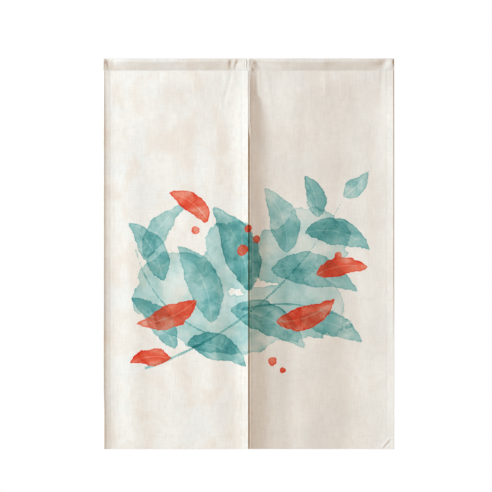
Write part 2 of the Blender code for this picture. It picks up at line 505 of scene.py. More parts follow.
LEFT_HEADING = HeadingCut(
    name="left_heading",
    cut=LEFT_CUT,
    start=-WIDTH / 2,
    end=SLIT,
    gathers=(
        Gather(middle=-0.4195, half_width=0.0014, depth=0.0010, slant=0.10, at_top=1.0),
        Gather(middle=-0.4100, half_width=0.0070, depth=0.0046, slant=-0.15, lee=6.0, at_top=1.0),
        Gather(middle=-0.3970, half_width=0.0030, depth=0.0005, slant=0.10, lee=2.0),
        Gather(middle=-0.0525, half_width=0.0050, depth=0.0030, slant=0.10, lee=3.6),
        Gather(middle=-0.0348, half_width=0.0050, depth=0.0034, slant=0.30, lee=4.0),
        Gather(middle=-0.0105, half_width=0.0016, depth=0.0008),
        Gather(middle=-0.0040, half_width=0.0012, depth=0.0032, at_top=1.0),
    ),
    seed=1.3,
)
RIGHT_HEADING = HeadingCut(
    name="right_heading",
    cut=RIGHT_CUT,
    start=RIGHT_HEADING_START,
    end=WIDTH / 2,
    gathers=(
        Gather(middle=0.0300, half_width=0.0140, depth=0.0062, slant=-0.60, lee=4.0),
        Gather(middle=0.2200, half_width=0.0160, depth=-0.0008),
        Gather(middle=0.3960, half_width=0.0180, depth=0.0048, slant=0.35, lee=0.7),
        Gather(middle=0.4265, half_width=0.0040, depth=0.0040, at_top=1.0),
    ),
    seed=5.9,
)


def mesh_places(mesh: bpy.types.Mesh) -> Field:
    """Read every vertex's place.

    Args:
        mesh: The mesh.

    Returns:
        A row of x, y and z for each vertex.
    """
    flat = np.empty(len(mesh.vertices) * 3)
    mesh.vertices.foreach_get("co", flat)
    return flat.reshape(-1, 3)


def set_places(mesh: bpy.types.Mesh, places: Field) -> None:
    """Move every vertex to its row of places."""
    mesh.vertices.foreach_set("co", places.ravel())
    mesh.update()


def add_vectors(mesh: bpy.types.Mesh, name: str, columns: Sequence[Field]) -> None:
    """Store three values at each vertex, for a material to read.

    Args:
        mesh: The mesh that gets them.
        name: The attribute's name.
        columns: Three arrays of one value for each vertex.
    """
    layer = mesh.attributes.new(name, "FLOAT_VECTOR", "POINT")
    layer.data.foreach_set("vector", np.column_stack(columns).ravel())


def add_values(mesh: bpy.types.Mesh, name: str, values: Field) -> None:
    """Store one value at each vertex, for a material to read."""
    layer = mesh.attributes.new(name, "FLOAT", "POINT")
    layer.data.foreach_set("value", np.asarray(values, dtype=float))


def lay_flat(mesh: bpy.types.Mesh, right: Field, up: Field) -> None:
    """Store where each vertex lies on the flat cloth, for the weave and the print."""
    add_vectors(mesh, "cloth_place", (right, up, np.zeros_like(right)))


def place_object(
    name: str, mesh: bpy.types.Mesh, materials: Sequence[bpy.types.Material]
) -> bpy.types.Object:
    """Put a finished mesh in the scene, at the origin, smooth shaded.

    Args:
        name: The piece's name.
        mesh: Its mesh, already in place.
        materials: Its materials, in slot order.

    Returns:
        The new object.
    """
    for material in materials:
        mesh.materials.append(material)
    mesh.shade_smooth()
    piece = bpy.data.objects.new(name, mesh)
    bpy.context.scene.collection.objects.link(piece)
    return piece


def thicken(piece: bpy.types.Object, thickness: float, hem_share: float = 1.0, group: str = "") -> None:
    """Give a sheet its cloth on the side away from its face, with the second material behind.

    Args:
        piece: The sheet.
        thickness: The cloth's thickness, where the group's weight is 1.
        hem_share: The share of it where the weight is 0.
        group: The vertex group of thick places, or nothing.
    """
    modifier = piece.modifiers.new("Cloth", "SOLIDIFY")
    modifier.thickness = thickness
    modifier.offset = -1.0
    modifier.material_offset = 1
    if group:
        modifier.vertex_group = group
        modifier.thickness_vertex_group = hem_share


def flat_grid(columns: Sequence[float], rows: Sequence[float]) -> tuple[bpy.types.Mesh, Field, Field]:
    """A flat sheet with one vertex for each column and row, facing -Y once it is hung.

    Args:
        columns: The places across, from the left edge to the right one.
        rows: The places down.

    Returns:
        The mesh, and each vertex's own place across and down.
    """
    shape = bmesh.new()
    across_steps, down_steps = len(columns) - 1, len(rows) - 1
    bmesh.ops.create_grid(shape, x_segments=across_steps, y_segments=down_steps, size=0.5)
    mesh = bpy.data.meshes.new("sheet")
    shape.to_mesh(mesh)
    shape.free()
    unit = mesh_places(mesh)
    column = np.rint((unit[:, 0] + 0.5) * across_steps).astype(int)
    row = np.rint((0.5 - unit[:, 1]) * down_steps).astype(int)
    return mesh, np.asarray(columns)[column], np.asarray(rows)[row]


def curved_line(base: Point, tip: Point, bend: float, samples: int) -> Field:
    """Points down a line that bows to one side.

    Args:
        base: Its first point.
        tip: Its last.
        bend: How far it bows, as a share of its length.
        samples: How many points.

    Returns:
        One row for each point.
    """
    share = np.linspace(0.0, 1.0, samples)
    run = np.array(tip) - np.array(base)
    aside = np.array((run[1], -run[0])) * bend
    return np.array(base) + np.outer(share, run) + np.outer(4.0 * share * (1.0 - share), aside)


@dataclass(frozen=True)
class Leaf:
    """One painted leaf, in the curtain's own plane: x to the right, z up from the top edge."""

    base: Point
    tip: Point
    width: float
    bend: float
    wash: Wash
    tone: float

    SAMPLES = 48
    SHOULDER = 0.82
    FULLNESS = 0.92

    def spine(self) -> tuple[Field, Field, Field]:
        """Points down the middle of the leaf.

        Returns:
            The points, the unit vectors to their right, and the half-widths there.
        """
        points = curved_line(self.base, self.tip, self.bend, self.SAMPLES)
        slopes = np.gradient(points, axis=0)
        slopes /= np.linalg.norm(slopes, axis=1)[:, None]
        right = np.column_stack((slopes[:, 1], -slopes[:, 0]))
        share = np.linspace(0.0, 1.0, self.SAMPLES)
        swell = np.sin(math.pi * share**self.SHOULDER) ** self.FULLNESS
        return points, right, self.width / 2 * swell

    def measure(self, places: Field) -> tuple[Field, Field, Field]:
        """Where places lie on the leaf.

        Args:
            places: Rows of x and z.

        Returns:
            The distance outside its outline, the signed distance from its midrib, and the
            share of the way from base to tip.
        """
        points, right, half_widths = self.spine()
        offsets = places[:, None, :] - points[None, :, :]
        distances = np.linalg.norm(offsets, axis=2)
        nearest = np.argmin(distances, axis=1)
        rows = np.arange(len(places))
        aside = np.einsum("ij,ij->i", offsets[rows, nearest], right[nearest])
        outside = distances[rows, nearest] - half_widths[nearest]
        return outside, aside, nearest / (self.SAMPLES - 1)


@dataclass(frozen=True)
class Berry:
    """A round painted berry."""

    centre: Point
    radius: float
    tone: float

    def measure(self, places: Field) -> tuple[Field, Field, Field]:
        """Where places lie on the berry.

        Args:
            places: Rows of x and z.

        Returns:
            The distance outside it, and stand-ins for a midrib and a way along.
        """
        offsets = places - np.array(self.centre)
        distances = np.linalg.norm(offsets, axis=1)
        return distances - self.radius, np.full(len(places), 1.0), (offsets[:, 1] / self.radius + 1.0) / 2


@dataclass(frozen=True)
class Twig:
    """A painted stem that narrows from its base to its tip."""

    base: Point
    tip: Point
    bend: float
    base_width: float
    tip_width: float

    SAMPLES = 90

    def outside(self, places: Field) -> Field:
        """How far places lie outside the stem.

        Args:
            places: Rows of x and z.

        Returns:
            The distances, negative on the stem.
        """
        points = curved_line(self.base, self.tip, self.bend, self.SAMPLES)
        distances = np.linalg.norm(places[:, None, :] - points[None, :, :], axis=2)
        nearest = np.argmin(distances, axis=1)
        widths = np.linspace(self.base_width, self.tip_width, self.SAMPLES) / 2
        return distances[np.arange(len(places)), nearest] - widths[nearest]


@dataclass(frozen=True)
class Pool:
    """A broad pale wash behind the leaves, as one oval; pools that touch run together."""

    centre: Point
    radii: Point
    turn: float

    def outside(self, places: Field) -> Field:
        """About how far places lie outside the oval.

        Args:
            places: Rows of x and z.

        Returns:
            The distances, negative inside it.
        """
        right, up = (places - np.array(self.centre)).T
        cosine, sine = math.cos(math.radians(self.turn)), math.sin(math.radians(self.turn))
        along, across = right * cosine + up * sine, up * cosine - right * sine
        reach = np.hypot(along / self.radii[0], across / self.radii[1])
        return (reach - 1.0) * min(self.radii)


@dataclass(frozen=True)
class Print:
    """The printed design: a loose spray of watercolour leaves and berries over pale washes."""

    pools: tuple[Pool, ...]
    twigs: tuple[Twig, ...]
    leaves: tuple[Leaf, ...]
    berries: tuple[Berry, ...]

    FAR = 0.2

    def paint(self, mesh: bpy.types.Mesh, places: Field) -> None:
        """Store the design's distances on a mesh, for its material to read.

        Args:
            mesh: The cloth's mesh.
            places: Each vertex's x and z on the flat cloth.
        """
        for wash in Wash:
            shapes = [leaf for leaf in self.leaves if leaf.wash is wash]
            if wash is Wash.ACCENT:
                shapes = shapes + list(self.berries)
            best = [np.full(len(places), self.FAR), np.ones(len(places)), np.zeros(len(places))]
            tone = np.ones(len(places))
            for shape in shapes:
                measured = shape.measure(places)
                nearer = measured[0] < best[0]
                best = [np.where(nearer, new, old) for new, old in zip(measured, best)]
                tone = np.where(nearer, shape.tone, tone)
            add_vectors(mesh, f"{wash.value}_wash", best)
            add_values(mesh, f"{wash.value}_tone", tone)
        for name, shapes in (("stem", self.twigs), ("pool", self.pools)):
            outside = np.min([shape.outside(places) for shape in shapes], axis=0)
            add_values(mesh, name, np.minimum(outside, self.FAR))


DESIGN = Print(
    pools=(
        Pool(centre=(-0.190, -0.690), radii=(0.150, 0.120), turn=-30.0),
        Pool(centre=(-0.060, -0.770), radii=(0.170, 0.085), turn=-8.0),
        Pool(centre=(0.130, -0.735), radii=(0.175, 0.100), turn=10.0),
        Pool(centre=(0.150, -0.560), radii=(0.150, 0.105), turn=35.0),
        Pool(centre=(-0.050, -0.585), radii=(0.085, 0.110), turn=0.0),
    ),
    twigs=(
        Twig(base=(-0.300, -0.905), tip=(0.285, -0.395), bend=0.10, base_width=0.010, tip_width=0.004),
        Twig(base=(-0.020, -0.735), tip=(0.300, -0.770), bend=-0.10, base_width=0.007, tip_width=0.004),
        Twig(base=(-0.130, -0.800), tip=(-0.330, -0.560), bend=-0.12, base_width=0.006, tip_width=0.004),
    ),
    leaves=(
        Leaf((-0.215, -0.850), (-0.345, -0.700), 0.070, 0.10, Wash.FIRST, 0.80),
        Leaf((-0.180, -0.835), (-0.010, -0.900), 0.078, -0.14, Wash.SECOND, 0.95),
        Leaf((-0.110, -0.775), (-0.215, -0.545), 0.098, 0.12, Wash.SECOND, 0.75),
        Leaf((-0.055, -0.735), (0.165, -0.850), 0.092, -0.12, Wash.FIRST, 0.85),
        Leaf((0.000, -0.680), (-0.105, -0.435), 0.104, 0.10, Wash.FIRST, 1.00),
        Leaf((0.065, -0.620), (0.315, -0.680), 0.098, -0.12, Wash.SECOND, 0.80),
        Leaf((0.110, -0.570), (0.045, -0.380), 0.086, 0.12, Wash.THIRD, 0.70),
        Leaf((0.165, -0.510), (0.355, -0.560), 0.080, -0.14, Wash.FIRST, 0.95),
        Leaf((0.200, -0.465), (0.165, -0.345), 0.060, 0.10, Wash.SECOND, 0.85),
        Leaf((0.275, -0.405), (0.350, -0.330), 0.048, 0.06, Wash.THIRD, 0.80),
        Leaf((-0.250, -0.650), (-0.352, -0.480), 0.074, 0.10, Wash.THIRD, 0.85),
        Leaf((-0.300, -0.590), (-0.185, -0.430), 0.062, -0.12, Wash.FIRST, 0.65),
        Leaf((0.150, -0.765), (0.335, -0.830), 0.070, -0.10, Wash.SECOND, 0.70),
        Leaf((-0.228, -0.878), (-0.350, -0.892), 0.050, 0.10, Wash.ACCENT, 0.95),
        Leaf((0.078, -0.768), (0.255, -0.700), 0.068, 0.12, Wash.ACCENT, 1.00),
        Leaf((-0.155, -0.708), (-0.328, -0.774), 0.068, -0.10, Wash.ACCENT, 0.85),
        Leaf((0.196, -0.634), (0.355, -0.612), 0.054, -0.10, Wash.ACCENT, 0.90),
        Leaf((-0.118, -0.478), (-0.238, -0.392), 0.054, 0.12, Wash.ACCENT, 0.95),
    ),
    berries=(
        Berry((-0.020, -0.560), 0.0150, 1.00),
        Berry((0.022, -0.528), 0.0125, 0.85),
        Berry((-0.002, -0.500), 0.0105, 0.95),
        Berry((-0.155, -0.500), 0.0120, 0.90),
        Berry((-0.128, -0.472), 0.0095, 1.00),
        Berry((0.235, -0.600), 0.0130, 0.95),
        Berry((0.262, -0.575), 0.0100, 0.85),
        Berry((0.070, -0.885), 0.0125, 1.00),
        Berry((0.098, -0.912), 0.0095, 0.85),
    ),
)


@dataclass(frozen=True)
class Cloud:
    """A cloudy noise: its cells for each metre, and the levels between which it is full."""

    scale: float
    detail: float = 2.0
    distortion: float = 0.0
    low: float = 0.0
    high: float = 1.0


class NodeKit:
    """Short ways to lay and join a material's nodes."""

    def __init__(self, name: str) -> None:
        """Start a material with no more than its shader and output.

        Args:
            name: The material's name.
        """
        self.material = bpy.data.materials.new(name)
        self.material.use_nodes = True
        self.tree = self.material.node_tree
        self.shader = self.tree.nodes["Principled BSDF"]

    def node(
        self, kind: str, inputs: dict[int | str, object] | None = None, **settings: object
    ) -> bpy.types.Node:
        """Add a node of a kind.

        Args:
            kind: Blender's name for it.
            inputs: What its inputs get: outputs of other nodes, or plain values.
            settings: Its own settings.

        Returns:
            The new node.
        """
        made = self.tree.nodes.new(kind)
        for name, value in settings.items():
            setattr(made, name, value)
        for key, value in (inputs or {}).items():
            self.feed(made.inputs[key], value)
        return made

    def feed(self, socket: Socket, value: object) -> None:
        """Give a socket its value.

        Args:
            socket: The socket.
            value: An output to link to it, or a plain value.
        """
        if isinstance(value, Socket):
            self.tree.links.new(value, socket)
        else:
            socket.default_value = value

    def finish(self, **values: object) -> None:
        """Feed the shader's inputs, with their names' spaces as underscores."""
        for name, value in values.items():
            self.feed(self.shader.inputs[name.replace("_", " ")], value)

    def math(self, operation: str, first: object, second: object = 0.0) -> Socket:
        """One arithmetic step on one or two values."""
        return self.node("ShaderNodeMath", {0: first, 1: second}, operation=operation).outputs[0]

    def total(self, *values: object) -> Socket:
        """The sum of two or more values."""
        return reduce(lambda first, second: self.math("ADD", first, second), values)

    def scaled(self, value: object, factor: float, offset: float = 0.0) -> Socket:
        """A value times a factor, plus an offset."""
        inputs = {0: value, 1: factor, 2: offset}
        return self.node("ShaderNodeMath", inputs, operation="MULTIPLY_ADD").outputs[0]

    def between(self, value: object, low: float, high: float) -> Socket:
        """A value that runs from 0 to 1, made to run from low to high."""
        return self.scaled(value, high - low, low)

    def step(self, value: object, low: float, high: float, smooth: bool = True) -> Socket:
        """Rise from 0 to 1 between two values, or fall where the first is the higher one.

        Args:
            value: What rises.
            low: Where the result is 0.
            high: Where it is 1.
            smooth: Whether it eases in and out.

        Returns:
            The result.
        """
        limits = {"From Min": min(low, high), "From Max": max(low, high)}
        results = {"To Min": float(low > high), "To Max": float(low <= high)}
        kind = "SMOOTHSTEP" if smooth else "LINEAR"
        inputs = {"Value": value, **limits, **results}
        return self.node("ShaderNodeMapRange", inputs, interpolation_type=kind).outputs["Result"]

    def stretched(self, vector: object, scale: tuple[float, float, float]) -> Socket:
        """A place times a scale on each axis."""
        return self.node("ShaderNodeVectorMath", {0: vector, 1: scale}, operation="MULTIPLY").outputs[0]

    def noise(self, vector: object, cloud: Cloud) -> Socket:
        """Cloudy noise round 0.5.

        Args:
            vector: The place.
            cloud: The noise's settings.

        Returns:
            The noise.
        """
        settings = {"Scale": cloud.scale, "Detail": cloud.detail, "Distortion": cloud.distortion}
        return self.node("ShaderNodeTexNoise", {"Vector": vector, **settings}).outputs["Fac"]

    def patches(self, vector: object, cloud: Cloud) -> Socket:
        """Soft patches: 0 where the noise is under its low level, 1 over its high one."""
        return self.step(self.noise(vector, cloud), cloud.low, cloud.high)

    def stored(self, name: str, output: str) -> Socket:
        """An output of a stored attribute: Vector for three values, Fac for one."""
        return self.node("ShaderNodeAttribute", attribute_name=name).outputs[output]

    def split(self, vector: object) -> tuple[Socket, ...]:
        """A vector's x, y and z."""
        return tuple(self.node("ShaderNodeSeparateXYZ", {0: vector}).outputs)

    def blend(self, share: object, first: object, second: object, kind: str = "MIX") -> Socket:
        """Mix two colours.

        Args:
            share: How much of the second one shows.
            first: The first colour, as an output or as three channels.
            second: The second one.
            kind: The kind of mix.

        Returns:
            The mixed colour.
        """
        made = self.node("ShaderNodeMix", {"Factor": share}, data_type="RGBA", blend_type=kind)
        colours = [socket for socket in made.inputs if socket.type == "RGBA"]
        for socket, colour in zip(colours, (first, second)):
            self.feed(socket, (*colour, 1.0) if isinstance(colour, tuple) else colour)
        return next(socket for socket in made.outputs if socket.type == "RGBA")

    def relief(self, height: Socket, strength: float, distance: float) -> None:
        """Bend the shader's normals over a small relief.

        Args:
            height: The relief.
            strength: How strongly it shows.
            distance: How high 1 stands, in metres.
        """
        made = self.node("ShaderNodeBump", {"Strength": strength, "Distance": distance, "Height": height})
        self.finish(Normal=made.outputs[0])


@dataclass(frozen=True)
class Pigment:
    """What a full wash lets through of red, green and blue."""

    through: Colour

    def stain(self, kit: NodeKit, density: object) -> Socket:
        """The colour that a density of this pigment lets through.

        Args:
            kit: The material's nodes.
            density: 0 for bare cloth, 1 for a full wash.

        Returns:
            A colour to multiply the cloth by.
        """
        channels = [kit.math("POWER", share, density) for share in self.through]
        return kit.node("ShaderNodeCombineColor", dict(enumerate(channels))).outputs[0]


TEAL = Pigment(through=(0.215, 0.520, 0.535))
VERMILION = Pigment(through=(0.880, 0.105, 0.055))


@dataclass(frozen=True)
class PrintFinish:
    """Watercolour washes: wobbling edges, dark tide lines, blooms and grain in the weave.

    Lengths are in metres, and depths are densities of paint. A pair says what a value is at
    the start and at the end of its range.
    """

    strength: float
    edge_wobble: float = 0.0110
    edge_tremble: float = 0.0030
    edge_soft: float = 0.0007
    tide_reach: float = 0.0075
    tide_fall: float = 2.5
    pool_tide_reach: float = 0.010
    pool_tide_fall: float = 3.0
    pool_tide_depth: float = 0.34
    vein: Point = (0.00198, 0.00066)
    vein_fade: Point = (0.97, 0.60)
    vein_depth: float = 0.30
    line: Point = (0.016, 0.002)
    line_depth: float = 0.26
    bloom: Point = (0.42, 1.04)
    grain: float = 0.17
    blotch: float = 0.20
    flow: Point = (1.12, 0.82)
    tide_depth: Point = (0.12, 0.57)
    thinnest: float = 0.12
    red_strength: float = 1.1
    red_cover: Point = (0.5, 0.1)
    teal_under_red: float = 0.2
    shore: float = 0.06
    pool_depth: Point = (0.14, 0.56)
    pool_bloom: Point = (0.35, 1.10)
    stem_wobble: float = 0.22
    stem_depth: Point = (0.10, 0.80)

    WOBBLE = Cloud(26.0, 3.0)
    TREMBLE = Cloud(160.0)
    BLOOMS = Cloud(17.0, 4.0, 0.6, low=0.30, high=0.70)
    RIDGES = Cloud(11.0, 5.0, 0.9)
    GRAIN = Cloud(900.0, 1.0)
    BLOTCHES = Cloud(75.0, 3.0)
    SHORE = Cloud(9.0, 5.0, 0.4)
    DEPTHS = Cloud(6.5, 4.0, 0.5, low=0.34, high=0.66)

    def wash(self, kit: NodeKit, layer: Wash, clouds: dict[str, Socket]) -> Socket:
        """How dense one layer of leaves is.

        Args:
            kit: The material's nodes.
            layer: Which layer.
            clouds: The noises that every layer shares.

        Returns:
            The density, 0 on bare cloth.
        """
        outside, vein, along = kit.split(kit.stored(f"{layer.value}_wash", "Vector"))
        tone = kit.stored(f"{layer.value}_tone", "Fac")
        edge = kit.total(outside, clouds["wobble"])
        cover = kit.step(edge, self.edge_soft, -self.edge_soft)
        rising = kit.step(edge, -self.tide_reach, -self.edge_soft, smooth=False)
        tide = kit.math("POWER", rising, self.tide_fall)
        rib = kit.step(kit.math("ABSOLUTE", vein), *self.vein)
        rib = kit.math("MULTIPLY", rib, kit.step(along, *self.vein_fade))
        body = kit.math("MULTIPLY", clouds["bloom"], kit.between(along, *self.flow))
        tide = kit.math("MULTIPLY", tide, kit.between(clouds["bloom"], *self.tide_depth))
        body = kit.total(body, tide, kit.scaled(rib, -self.vein_depth))
        inked = kit.math("MAXIMUM", body, self.thinnest)
        return kit.math("MULTIPLY", kit.math("MULTIPLY", cover, tone), inked)

    def clouds(self, kit: NodeKit, place: Socket) -> dict[str, Socket]:
        """The noises that the washes share.

        Args:
            kit: The material's nodes.
            place: Places on the flat cloth, in metres.

        Returns:
            The edge wobble in metres, and the bloom round 0.8.
        """
        wobble = kit.between(kit.noise(place, self.WOBBLE), -self.edge_wobble, self.edge_wobble)
        tremble = kit.between(kit.noise(place, self.TREMBLE), -self.edge_tremble, self.edge_tremble)
        bloom = kit.between(kit.patches(place, self.BLOOMS), *self.bloom)
        ridge = kit.math("ABSOLUTE", kit.between(kit.noise(place, self.RIDGES), -0.5, 0.5))
        lines = kit.scaled(kit.step(ridge, *self.line), self.line_depth)
        grain = kit.between(kit.noise(place, self.GRAIN), -self.grain, self.grain)
        blotches = kit.between(kit.noise(place, self.BLOTCHES), -self.blotch, self.blotch)
        return {"wobble": kit.total(wobble, tremble), "bloom": kit.total(bloom, lines, grain, blotches)}

    def dye(self, kit: NodeKit, place: Socket, cloth: Socket) -> Socket:
        """The cloth's colour with the design printed on it.

        Args:
            kit: The material's nodes.
            place: Places on the flat cloth, in metres.
            cloth: The bare cloth's colour.

        Returns:
            The printed colour.
        """
        clouds = self.clouds(kit, place)
        layers = [self.wash(kit, layer, clouds) for layer in (Wash.FIRST, Wash.SECOND, Wash.THIRD)]
        teal = kit.total(self.stem(kit, clouds), self.pool(kit, place, clouds), *layers)
        red = kit.scaled(self.wash(kit, Wash.ACCENT, clouds), self.red_strength * self.strength)
        bare, covered = (share * self.strength for share in self.red_cover)
        under_red = kit.between(kit.step(red, bare, covered), self.teal_under_red, 1.0)
        teal = kit.math("MULTIPLY", kit.scaled(teal, self.strength), under_red)
        dyed = kit.blend(1.0, cloth, TEAL.stain(kit, teal), "MULTIPLY")
        return kit.blend(1.0, dyed, VERMILION.stain(kit, red), "MULTIPLY")

    def pool(self, kit: NodeKit, place: Socket, clouds: dict[str, Socket]) -> Socket:
        """How dense the broad pale wash is.

        Args:
            kit: The material's nodes.
            place: Places on the flat cloth, in metres.
            clouds: The noises that every layer shares.

        Returns:
            The density, 0 on bare cloth.
        """
        shore = kit.between(kit.noise(place, self.SHORE), -self.shore, self.shore)
        edge = kit.total(kit.stored("pool", "Fac"), kit.total(shore, clouds["wobble"]))
        cover = kit.step(edge, self.edge_soft, -self.edge_soft)
        rising = kit.step(edge, -self.pool_tide_reach, -self.edge_soft, smooth=False)
        tide = kit.scaled(kit.math("POWER", rising, self.pool_tide_fall), self.pool_tide_depth)
        body = kit.total(kit.between(kit.patches(place, self.DEPTHS), *self.pool_depth), tide)
        body = kit.math("MULTIPLY", body, kit.between(clouds["bloom"], *self.pool_bloom))
        return kit.math("MULTIPLY", cover, body)

    def stem(self, kit: NodeKit, clouds: dict[str, Socket]) -> Socket:
        """How dense the painted stems are.

        Args:
            kit: The material's nodes.
            clouds: The noises that every layer shares.

        Returns:
            The density, 0 on bare cloth.
        """
        edge = kit.total(kit.stored("stem", "Fac"), kit.scaled(clouds["wobble"], self.stem_wobble))
        cover = kit.step(edge, self.edge_soft, -self.edge_soft)
        return kit.math("MULTIPLY", cover, kit.between(clouds["bloom"], *self.stem_depth))


@dataclass(frozen=True)
class LinenFinish:
    """Natural cotton and linen cloth: plain weave, slubs, a faint uneven colour, and painted shade on the
    right-hand half.

    A share is how much of a second colour shows where its patch is full, and a shade is the
    brightness at the lowest and at the highest thread.
    """

    name: str
    colour: Colour
    grey: Colour
    warm: Colour
    fleck: Colour
    # Painted shade: the darker colour that the right-hand half of the cloth is blended towards.
    right_shade: Colour
    print_finish: PrintFinish | None = None
    # Painted shade: a tone below 1 darkens the whole cloth, as on the rod pocket.
    tone: float = 1.0
    thread_pitch: float = 0.0011
    thread_wander: float = 0.8
    weave_depth: float = 0.00022
    weave_strength: float = 0.7
    roughness: float = 0.93
    specular: float = 0.18
    sheen: float = 0.06
    sheen_roughness: float = 0.5
    cloud_share: float = 0.85
    patch_share: float = 0.85
    # The next two shares set the painted shade of the right-hand half: how much of it follows the clouds, and
    # how much shows in all.
    right_shade_cloud_share: float = 0.90
    right_shade_share: float = 0.65
    fleck_share: float = 0.40
    warp_shade: Point = (0.890, 1.060)
    weft_shade: Point = (-0.05, 0.05)
    weave_shade: Point = (-0.032, 0.048)
    warp_relief: float = 0.9
    weft_relief: float = 0.6

    WANDER = Cloud(120.0, 1.0)
    CLOUDS = Cloud(8.0, 4.0, low=0.36, high=0.68)
    PATCHES = Cloud(15.0, 4.0, 0.5, low=0.42, high=0.70)
    PATCH_STRETCH = (1.0, 0.7, 1.0)
    FLECKS = Cloud(62.0, 4.0, low=0.45, high=0.75)
    SLUBS = Cloud(1.0)
    WARP_STRETCH = (330.0, 26.0, 1.0)
    WEFT_STRETCH = (30.0, 300.0, 1.0)
    # Where the painted shade of the right-hand half fades in, across the middle.
    RIGHT_SHADE_EDGES = (-0.01, 0.01)

    def weave(self, kit: NodeKit, place: Socket) -> Socket:
        """The height of a plain weave: each thread passes over one and under the next.

        Args:
            kit: The material's nodes.
            place: Places on the flat cloth, in metres.

        Returns:
            The height, from 0 to 1.
        """
        turns = math.pi / self.thread_pitch
        wander = kit.between(kit.noise(place, self.WANDER), -self.thread_wander, self.thread_wander)
        across, down, _ = kit.split(kit.stretched(place, (turns, turns, 0.0)))
        warp = kit.math("SINE", kit.total(across, wander))
        weft = kit.math("SINE", kit.total(down, wander))
        over = kit.scaled(kit.math("MULTIPLY", warp, weft), 0.5, 0.5)
        under = kit.scaled(over, -1.0, 1.0)
        warp_height = kit.math("MULTIPLY", kit.math("ABSOLUTE", warp), over)
        weft_height = kit.math("MULTIPLY", kit.math("ABSOLUTE", weft), under)
        return kit.math("MAXIMUM", warp_height, weft_height)

    def bare_colour(self, kit: NodeKit, place: Socket) -> Socket:
        """The cloth's own cloudy colour; the right-hand half is more even, and is darkened as painted shade.

        Args:
            kit: The material's nodes.
            place: Places on the flat cloth, in metres.

        Returns:
            The colour, before the threads' shade.
        """
        clouds = kit.patches(place, self.CLOUDS)
        patches = kit.patches(kit.stretched(place, self.PATCH_STRETCH), self.PATCHES)
        flecks = kit.patches(place, self.FLECKS)
        colour = kit.blend(kit.scaled(clouds, self.cloud_share), self.colour, self.grey)
        colour = kit.blend(kit.scaled(patches, self.patch_share), colour, self.warm)
        # Painted shade: the right-hand half is blended towards the darker shade colour, more where the clouds
        # are.
        shaded_right = kit.blend(kit.scaled(clouds, self.right_shade_cloud_share), self.colour, self.right_shade)
        right_shade_mask = kit.step(kit.split(place)[0], *self.RIGHT_SHADE_EDGES)
        colour = kit.blend(kit.scaled(right_shade_mask, self.right_shade_share), colour, shaded_right)
        return kit.blend(kit.scaled(flecks, self.fleck_share), colour, self.fleck)

    def build(self) -> bpy.types.Material:
        """Make the material.

        Returns:
            The finished material.
        """
        kit = NodeKit(self.name)
        place = kit.stored("cloth_place", "Vector")
        colour = self.bare_colour(kit, place)
        warp_slubs = kit.noise(kit.stretched(place, self.WARP_STRETCH), self.SLUBS)
        weft_slubs = kit.noise(kit.stretched(place, self.WEFT_STRETCH), self.SLUBS)
        weave = self.weave(kit, place)
        slub_shade = kit.total(
            kit.between(warp_slubs, *self.warp_shade), kit.between(weft_slubs, *self.weft_shade)
        )
        # Where the tone is below 1, it darkens the threads' shade as painted shade.
        shade = kit.scaled(kit.total(slub_shade, kit.between(weave, *self.weave_shade)), self.tone)
        tint = kit.node("ShaderNodeCombineColor", {channel: shade for channel in range(3)})
        colour = kit.blend(1.0, colour, tint.outputs[0], "MULTIPLY")
        if self.print_finish:
            colour = self.print_finish.dye(kit, place, colour)
        kit.finish(Base_Color=colour, Roughness=self.roughness, Specular_IOR_Level=self.specular)
        kit.finish(Sheen_Weight=self.sheen, Sheen_Roughness=self.sheen_roughness)
        slubs = kit.scaled(warp_slubs, self.warp_relief), kit.scaled(weft_slubs, self.weft_relief)
        kit.relief(kit.total(weave, *slubs), self.weave_strength, self.weave_depth)
        return kit.material


@dataclass(frozen=True)
class ThreadFinish:
    """Twisted cotton sewing thread."""

    name: str
    colour: Colour
    ply_pitch: float = 0.0006
    ply_depth: float = 0.0001
    ply_strength: float = 0.6
    worn_tone: float = 0.86
    worn_share: float = 0.5
    roughness: float = 0.72

    WEAR = Cloud(60.0)
    WAVES_PER_SCALE = 0.3

    def build(self) -> bpy.types.Material:
        """Make the material.

        Returns:
            The finished material.
        """
        kit = NodeKit(self.name)
        place = kit.node("ShaderNodeTexCoord").outputs["Object"]
        twist = {"Vector": place, "Scale": self.WAVES_PER_SCALE / self.ply_pitch}
        ply = kit.node("ShaderNodeTexWave", twist, bands_direction="DIAGONAL")
        worn = kit.scaled(kit.noise(place, self.WEAR), self.worn_share)
        dark = tuple(channel * self.worn_tone for channel in self.colour)
        kit.finish(Base_Color=kit.blend(worn, self.colour, dark), Roughness=self.roughness)
        kit.relief(ply.outputs["Fac"], self.ply_strength, self.ply_depth)
        return kit.material


